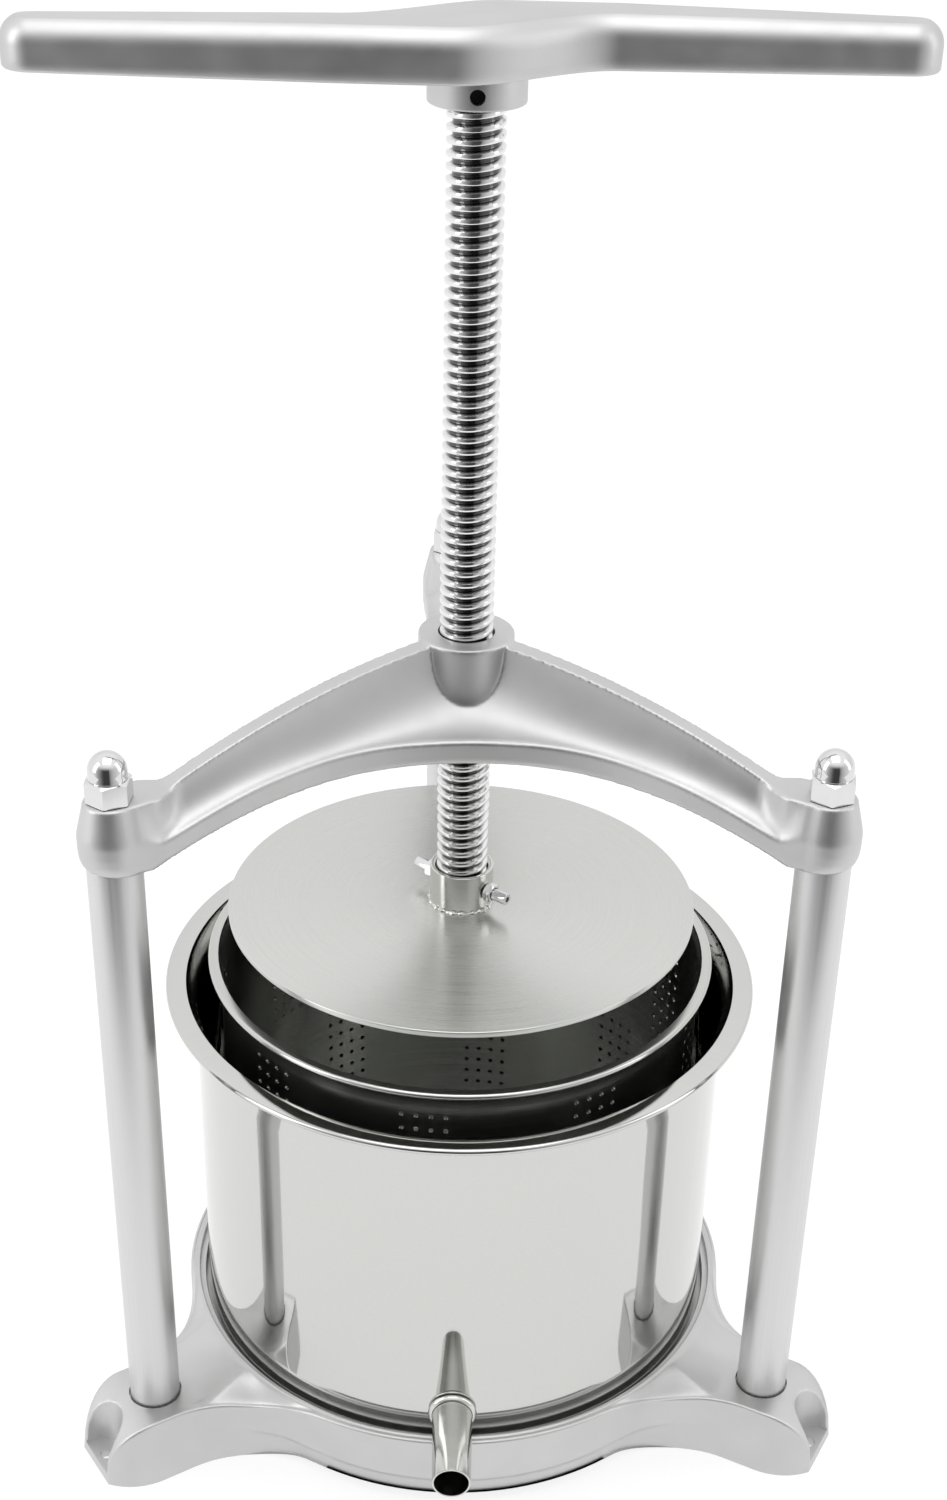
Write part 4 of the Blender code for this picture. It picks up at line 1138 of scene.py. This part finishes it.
def handle_loop(inset, height, drop_share):
    drop = HANDLE_TIP_DROP * drop_share
    return [(x, y, height - drop * handle_share(x)) for x, y in handle_outline(inset)]


HANDLE_CREASE = 66      # degrees at which the round stops short of the flat top


def make_handle():
    top = HANDLE_BAR_Z + HANDLE_BAR_T
    ceiling = top - HANDLE_WALL
    levels = [
        (HANDLE_WALL + 0.0045, ceiling, 1.0),
        (HANDLE_WALL + 0.0032, ceiling - 0.0006, 1.0),
        (HANDLE_WALL + 0.0026, ceiling - 0.0018, 1.0),
        (HANDLE_WALL + 0.0008, HANDLE_BAR_Z + 0.001, 0.0),
        (HANDLE_WALL - 0.0006, HANDLE_BAR_Z, 0.0),
        (0.0016, HANDLE_BAR_Z, 0.0),
        (0.0006, HANDLE_BAR_Z + 0.0003, 0.0),
        (0.0, HANDLE_BAR_Z + 0.0012, 0.0),
        (0.0, HANDLE_BAR_Z + 0.0050, 0.5),
    ]
    rise = HANDLE_ROUND * sin(radians(HANDLE_CREASE))
    for d in range(0, HANDLE_CREASE + 1, 6):
        inset = HANDLE_ROUND * (1 - cos(radians(d)))
        levels.append((inset, top - rise + HANDLE_ROUND * sin(radians(d)), 1.0))
    # a shallow groove where the round meets the flat top
    levels.append((inset + 0.0003, top - 0.00025, 1.0))
    levels.append((inset + 0.0007, top, 1.0))
    levels.append((inset + 0.0016, top, 1.0))
    loops = [handle_loop(*level) for level in levels]
    mesh = moved(loft_mesh("handle", loops), Matrix.Rotation(radians(HANDLE_TURN), 4, "Z"))
    root = ceiling + 0.001
    hub = [(0, root), (HANDLE_HUB_R, root), (HANDLE_HUB_R, HANDLE_HUB_Z), (0, HANDLE_HUB_Z)]
    mesh = boolean(mesh, turned_mesh("hub", rounded(hub, 0.0010), 96), "UNION")
    mesh = boolean(mesh, prism_mesh("bore", 96, SCREW_R + GAP, HANDLE_HUB_Z - 0.01, SCREW_TOP_Z + GAP, 2.0))
    pin_z = HANDLE_HUB_Z + 0.45 * HANDLE_HUB_DROP
    hole = prism_mesh("hole", 32, PIN_R + GAP, 0.0, HANDLE_HUB_R + 0.01)
    mesh = boolean(mesh, moved(hole, radial_matrix(PIN_TURN, pin_z)))
    piece("handle_looks", mesh, "screw", CAST, ["handle_casting"], 50)


# ---------------------------------------------------------------- pressing plate


def weld_mesh():
    """An uneven bead of weld round the socket's foot."""
    foot = PLATE_TOP_Z + 0.0001
    work = bmesh.new()
    rows = []
    around = 160
    for i in range(around):
        a = 2 * pi * i / around
        swell = 1.0 + 0.25 * sin(19 * a) + 0.20 * sin(7 * a + 1.0) + 0.15 * sin(31 * a + 2.0)
        size = 0.0013 * swell
        ring = []
        for d in range(0, 360, 30):
            r = SOCKET_R - 0.0002 + size * cos(radians(d))
            ring.append(work.verts.new((r * cos(a), r * sin(a), foot + 0.8 * size * sin(radians(d)))))
        rows.append(ring)
    rows.append(rows[0])
    skin(work, rows)
    return mesh_from("weld", work)


def make_plate():
    bottom = PLATE_TOP_Z - PLATE_T
    disc = rounded([(0, PLATE_TOP_Z), (PLATE_R, PLATE_TOP_Z), (PLATE_R, bottom), (0, bottom)], 0.0007)
    piece("disc_looks", turned_mesh("disc", disc, 256), "plate", SPUN, ["press_disc"])
    foot = PLATE_TOP_Z + GAP
    inner = SCREW_R + GAP
    top = PLATE_TOP_Z + SOCKET_HEIGHT
    sleeve = rounded(
        [
            (inner, (top + foot) / 2),
            (inner, top - 0.0008),
            (inner + 0.0008, top),
            (SOCKET_R, top),
            (SOCKET_R, foot),
            (inner, foot),
        ],
        0.0004,
        3,
    )
    socket = turned_mesh("socket", sleeve, 96)
    level = PLATE_TOP_Z + RETAINER_Z
    for name, degrees in RETAINER_ANGLES.items():
        place = radial_matrix(degrees, level)
        hole = prism_mesh("hole", 32, RETAINER_R + GAP, inner - 0.004, SOCKET_R + 0.004)
        socket = boolean(socket, moved(hole, place))
        start = GROOVE_R + GAP
        end = start + RETAINER_LENGTH
        stud = rounded([(0, end), (RETAINER_R, end), (RETAINER_R, start), (0, start)], 0.0004, 3)
        stud = turned_mesh("stud", stud, 48)
        stud = boolean(stud, prism_mesh("key", 6, 0.00145, end - 0.0022, end + 0.01))
        looks = f"retaining_screw_looks_{name}"
        piece(looks, moved(stud, place), "plate", CHROME, [f"retaining_screw_{name}"])
        seat = SOCKET_R + GAP
        corner = LOCK_FLATS / sqrt(3)
        nut = prism_mesh("nut", 6, corner, seat, seat + LOCK_HEIGHT, 12.0)
        cone = [
            (0, seat + LOCK_HEIGHT),
            (corner - 0.0008, seat + LOCK_HEIGHT),
            (corner + 0.0004, seat + LOCK_HEIGHT - 0.0007),
            (corner + 0.0004, seat + 0.0007),
            (corner - 0.0008, seat),
            (0, seat),
        ]
        nut = boolean(nut, turned_mesh("cone", cone, 64), "INTERSECT")
        nut = boolean(nut, prism_mesh("bore", 32, RETAINER_R + GAP, seat - 0.01, seat + 0.02))
        nut = moved(nut, place)
        piece(f"lock_nut_looks_{name}", nut, "plate", CHROME, [f"lock_nut_{name}"], 24)
    piece("socket_looks", socket, "plate", STEEL, ["screw_socket"])
    piece("socket_weld", weld_mesh(), "plate", STEEL)


# ---------------------------------------------------------------- pot, spout and basket


def vessel_profile(radius, wall, floor, top, rim_r, flare_r, corner, flare_drop, bead):
    """Thin round vessel with a rounded corner, a flared mouth and a rolled rim."""
    lip_out = rim_r - bead
    turn = [radians(d) for d in range(90, -91, -15)]
    outer = [(lip_out + bead * cos(a), top - bead + bead * sin(a)) for a in turn]
    outer += [(lip_out - bead * 0.7, top - 2 * bead + 0.0001)]
    outer += [(lip_out - bead, top - wall - 0.0005)]
    steps = 8
    for i in range(steps + 1):
        t = i / steps
        outer.append((mix(flare_r, radius, smooth(t, 0, 1)), top - wall - 0.0004 - (flare_drop - wall) * t))
    for i in range(1, 12):
        outer.append((radius, mix(top - flare_drop, floor + corner, i / 12)))
    outer += [
        (radius - corner + corner * cos(radians(d)), floor + corner - corner * sin(radians(d)))
        for d in range(0, 91, 10)
    ]
    outer.append((0, floor))
    inside = corner - wall
    inner = [(0, floor + wall)]
    inner += [
        (radius - corner + inside * cos(radians(d)), floor + corner - inside * sin(radians(d)))
        for d in range(90, -1, -10)
    ]
    for i in range(11, 0, -1):
        inner.append((radius - wall, mix(top - flare_drop, floor + corner, i / 12)))
    for i in range(steps, -1, -1):
        t = i / steps
        thick = wall * (0.35 + 0.65 * t)
        inner.append((mix(flare_r, radius, smooth(t, 0, 1)) - thick, top - 0.0001 - flare_drop * t))
    return inner + outer


def make_pot():
    profile = vessel_profile(
        POT_R,
        POT_WALL,
        POT_FLOOR_Z,
        POT_RIM_Z,
        POT_RIM_R,
        POT_FLARE_R,
        POT_CORNER,
        POT_FLARE_DROP,
        RIM_BEAD_R,
    )
    pot = turned_mesh("pot", profile, 256)
    place = radial_matrix(SPOUT_TURN, SPOUT_Z)
    hole = prism_mesh("hole", 64, SPOUT_ROOT_R + GAP, POT_R - 0.012, POT_R + 0.01)
    pot = boolean(pot, moved(hole, place))
    piece("pot_looks", pot, "pot", MIRROR, ["pot_shell"], 40)
    start = POT_R - POT_WALL - 0.0008
    end = POT_R + SPOUT_LENGTH
    tube = rounded(
        [
            (mix(SPOUT_MOUTH_R, SPOUT_ROOT_R, 0.5), (start + end) / 2),
            (SPOUT_MOUTH_R, end),
            (SPOUT_MOUTH_R - SPOUT_WALL, end),
            (SPOUT_ROOT_R - SPOUT_WALL, start),
            (SPOUT_ROOT_R, start),
        ],
        0.00035,
        3,
    )
    tube = moved(turned_mesh("spout", tube, 64), place)
    piece("spout_looks", tube, "pot", STEEL, ["spout_tube"])
    back = POT_R + GAP
    bore = SPOUT_ROOT_R + 0.0001
    ring = rounded(
        [
            (bore, back),
            (COLLAR_R, back),
            (COLLAR_R, back + COLLAR_T * 0.6),
            (bore + 0.0006, back + COLLAR_T),
            (bore, back + COLLAR_T),
        ],
        0.0008,
    )
    ring = moved(turned_mesh("collar", ring, 64), place)
    piece("collar_looks", ring, "pot", STEEL, ["spout_collar"])


def perforated_wall(radius, wall, bottom, top):
    """The basket's straight wall with clusters of small through holes, as one band of cells."""
    around = HOLE_GROUPS * GROUP_CELLS
    cell_w = 2 * pi / around
    rows = int((top - bottom) / HOLE_STEP_Z)
    cell_h = (top - bottom) / rows
    work = bmesh.new()
    grid = {}

    def corner(i, j, side):
        key = (i % around, j, side)
        if key not in grid:
            a = key[0] * cell_w + GROUP_START
            r = radius if side else radius - wall
            grid[key] = work.verts.new((r * cos(a), r * sin(a), bottom + j * cell_h))
        return grid[key]

    def hole_ring(i, j, side):
        r = radius if side else radius - wall
        a0 = (i + 0.5) * cell_w + GROUP_START
        z0 = bottom + (j + 0.5) * cell_h
        ring = []
        for k in range(12):
            d = radians(45 + 30 * k)
            a = a0 + HOLE_R * cos(d) / radius
            ring.append(work.verts.new((r * cos(a), r * sin(a), z0 + HOLE_R * sin(d))))
        return ring

    for i in range(around):
        for j in range(rows):
            shift = GROUP_CELLS // 2 if j < rows / 2 else 0
            open_cell = (i + shift) % GROUP_CELLS in HOLE_COLUMNS and 1 <= j < rows - 1
            quads = {}
            for side in (0, 1):
                ends = ((i + 1, j + 1), (i, j + 1), (i, j), (i + 1, j))
                quads[side] = [corner(*end, side) for end in ends]
            if not open_cell:
                work.faces.new(quads[1])
                work.faces.new(list(reversed(quads[0])))
                continue
            rings = {side: hole_ring(i, j, side) for side in (0, 1)}
            for side in (0, 1):
                ring, quad = rings[side], quads[side]
                for k in range(4):
                    a, b = quad[k], quad[(k + 1) % 4]
                    first = 3 * k
                    fan = [ring[(first + n) % 12] for n in range(4)]
                    work.faces.new([a] + fan + [b])
            for k in range(12):
                work.faces.new((rings[0][k], rings[0][(k + 1) % 12], rings[1][(k + 1) % 12], rings[1][k]))
    return work, grid, around, rows


HOLE_GROUPS = 9         # clusters round the wall, staggered between its upper and lower half
GROUP_CELLS = 12
GROUP_START = radians(-106.8)
HOLE_COLUMNS = (0, 1, 2, 3)
HOLE_STEP_Z = 0.0075
HOLE_R = 0.00125


def make_basket():
    profile = vessel_profile(
        BASKET_R,
        BASKET_WALL,
        BASKET_FLOOR_Z,
        BASKET_RIM_Z,
        BASKET_RIM_R,
        BASKET_R + BASKET_FLARE,
        BASKET_CORNER,
        BASKET_FLARE_DROP,
        RIM_BEAD_R,
    )
    bottom = BASKET_FLOOR_Z + BASKET_CORNER
    top = BASKET_RIM_Z - BASKET_FLARE_DROP
    work, grid, around, rows = perforated_wall(BASKET_R, BASKET_WALL, bottom, top)
    # the rest of the profile, from the wall's inner foot over the floor, and from its outer top over the rim
    spots = [i * (2 * pi / around) + GROUP_START for i in range(around)]

    def ring_of(r, z):
        if r < 1e-7:
            return [work.verts.new((0, 0, z))]
        return [work.verts.new((r * cos(a), r * sin(a), z)) for a in spots]

    corner = BASKET_CORNER
    inside = corner - BASKET_WALL
    floor_rows = {}
    for side, bend, level in ((1, corner, BASKET_FLOOR_Z), (0, inside, BASKET_FLOOR_Z + BASKET_WALL)):
        chain = [[grid[(i, 0, side)] for i in range(around)]]
        for d in range(10, 91, 10):
            r = BASKET_R - corner + bend * cos(radians(d))
            chain.append(ring_of(r, BASKET_FLOOR_Z + corner - bend * sin(radians(d))))
        chain.append(ring_of(0, level))
        floor_rows[side] = chain
    bead_start = BASKET_RIM_R - RIM_BEAD_R - 0.0001
    split = [index for index, point in enumerate(profile) if point[0] >= bead_start][0]
    rim_inner = [p for p in profile[:split] if p[1] > top + 0.00005]
    rim_outer = [p for p in profile[split:] if p[1] > top + 0.00005]
    chain = [[grid[(i, rows, 0)] for i in range(around)]]
    chain += [ring_of(r, z) for r, z in rim_inner + rim_outer]
    chain.append([grid[(i, rows, 1)] for i in range(around)])
    for line in (*floor_rows.values(), chain):
        for lower, upper in zip(line, line[1:]):
            for i in range(around):
                j = (i + 1) % around
                if len(upper) == 1:
                    work.faces.new((lower[i], lower[j], upper[0]))
                else:
                    work.faces.new((lower[i], lower[j], upper[j], upper[i]))
    mesh = mesh_from("basket", work)
    piece("basket_looks", mesh, "basket", BASKET, ["basket_shell"], 40)


# ---------------------------------------------------------------- CAD nodes that stay


def finish_nodes():
    # the handle's pin gets near-black painted shade for its dark hole; the other kept nodes get their own
    # metals
    kept = {"thread_bush": BRONZE, "handle_pin": PIN_HOLE_SHADE}
    for name in COLUMN_ANGLES:
        for kind in ("tie_rod", "bottom_washer", "bottom_nut"):
            kept[f"{kind}_{name}"] = ZINC
    for name, material in kept.items():
        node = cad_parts[name]
        node.data.materials.clear()
        node.data.materials.append(material)


# ---------------------------------------------------------------- floor, light and camera


def make_floor():
    """A white sweep that stays white in the picture, with a faint shadow where the object stands."""
    work = bmesh.new()
    half = FLOOR_HALF
    ends = (-half, FLOOR_FRONT), (half, FLOOR_FRONT), (half, half), (-half, half)
    work.faces.new([work.verts.new((x, y, 0.0)) for x, y in ends])
    mesh = mesh_from("floor", work)
    material, shader = new_material("floor_looks", (FLOOR_TONE, FLOOR_TONE, FLOOR_TONE), 0.9, 0.0)
    shader.inputs["Specular IOR Level"].default_value = 0.0
    shader.inputs["Emission Color"].default_value = (1.0, 1.0, 1.0, 1.0)
    shader.inputs["Emission Strength"].default_value = FLOOR_GLOW
    mesh.materials.append(material)
    floor = bpy.data.objects.new("floor", mesh)
    bpy.context.scene.collection.objects.link(floor)


FLOOR_HALF = 12.0
FLOOR_FRONT = -0.64    # the sweep ends in front of the object, and the room beyond is dark
FLOOR_TONE = 0.28
FLOOR_GLOW = 0.76


def area_light(name, location, target, width, height, power):
    light = bpy.data.lights.new(name, "AREA")
    light.shape = "RECTANGLE"
    light.size = width
    light.size_y = height
    light.energy = power
    light.spread = pi
    item = bpy.data.objects.new(name, light)
    item.location = location
    item.rotation_mode = "QUATERNION"
    item.rotation_quaternion = (Vector(target) - Vector(location)).to_track_quat("-Z", "Y")
    bpy.context.scene.collection.objects.link(item)
    return item


def make_world():
    """A studio round the object: bright walls at the sides and behind, and a dark room in front."""
    world = bpy.data.worlds.new("studio")
    world.use_nodes = True
    bpy.context.scene.world = world
    place = add(world, "ShaderNodeTexCoord")
    split = add(world, "ShaderNodeSeparateXYZ")
    wire(world, place.outputs["Generated"], split.inputs["Vector"])
    share = add(world, "ShaderNodeMapRange")
    share.inputs["From Min"].default_value = -pi
    share.inputs["From Max"].default_value = pi
    wire(world, heading_of(world, split), share.inputs["Value"])
    top = add(world, "ShaderNodeMapRange", interpolation_type="SMOOTHSTEP")
    top.inputs["From Min"].default_value = CEILING_START
    top.inputs["From Max"].default_value = CEILING_FULL
    wire(world, split.outputs["Z"], top.inputs["Value"])
    whole = add(world, "ShaderNodeMix", data_type="RGBA")
    wire(world, top.outputs["Result"], whole.inputs["Factor"])
    wire(world, ramped(world, share.outputs["Result"], AROUND), whole.inputs["A"])
    whole.inputs["B"].default_value = (CEILING, CEILING, CEILING, 1.0)
    ground = world.node_tree.nodes["Background"]
    wire(world, whole.outputs["Result"], ground.inputs["Color"])
    ground.inputs["Strength"].default_value = WORLD_STRENGTH


def make_light():
    make_world()
    area_light("top_light", (0.0, -0.4, 2.4), (0, 0, 0.2), 1.6, 1.6, TOP_POWER)
    area_light("left_light", (-2.0, -0.7, 1.3), (0, 0, 0.3), 0.8, 2.0, LEFT_POWER)
    area_light("right_light", (2.1, -0.4, 1.2), (0, 0, 0.3), 0.7, 2.0, RIGHT_POWER)


# tone of the walls by direction: 0 and 1 are -X, 0.25 is -Y (in front), 0.5 is +X, 0.75 is +Y (behind)
AROUND = [
    (0.00, 1.05),
    (0.06, 0.95),
    (0.12, 0.45),
    (0.18, 0.15),
    (0.21, 0.06),
    (0.29, 0.06),
    (0.31, 0.35),
    (0.36, 0.62),
    (0.44, 0.85),
    (0.50, 0.90),
    (0.60, 0.95),
    (0.68, 0.95),
    (0.82, 0.95),
    (0.92, 1.05),
]
CEILING = 1.10
CEILING_START = 0.35
CEILING_FULL = 0.80
TOP_POWER = 9.0
LEFT_POWER = 10.0
RIGHT_POWER = 5.0
WORLD_STRENGTH = 1.0
CAMERA_AT = (-0.04226, -0.88942, 0.82360)
CAMERA_HEADING = 3.0917    # degrees from +Y towards +X
CAMERA_PITCH = 32.174      # degrees down
CAMERA_ROLL = -1.3264
CAMERA_LENS = 53.318
CAMERA_RISE = 0.1


def make_camera():
    camera = bpy.data.cameras.new("camera")
    camera.sensor_width = 36.0
    camera.lens = CAMERA_LENS
    camera.shift_y = CAMERA_RISE
    camera.clip_start = 0.05
    camera.clip_end = 60.0
    item = bpy.data.objects.new("camera", camera)
    heading, pitch, roll = (radians(v) for v in (CAMERA_HEADING, CAMERA_PITCH, CAMERA_ROLL))
    ahead = Vector((sin(heading) * cos(pitch), cos(heading) * cos(pitch), -sin(pitch)))
    right = Vector((cos(heading), -sin(heading), 0.0))
    down = ahead.cross(right)
    across = cos(roll) * right + sin(roll) * down
    below = -sin(roll) * right + cos(roll) * down
    turn = Matrix((across, -below, -ahead)).transposed()
    item.matrix_world = Matrix.Translation(CAMERA_AT) @ turn.to_4x4()
    bpy.context.scene.collection.objects.link(item)
    bpy.context.scene.camera = item


make_camera()
make_light()
make_floor()
make_base()
make_columns()
make_bridge()
make_screw()
make_handle()
make_plate()
make_pot()
make_basket()
finish_nodes()

bpy.context.scene.view_settings.view_transform = "Standard"
bpy.context.view_layer.update()
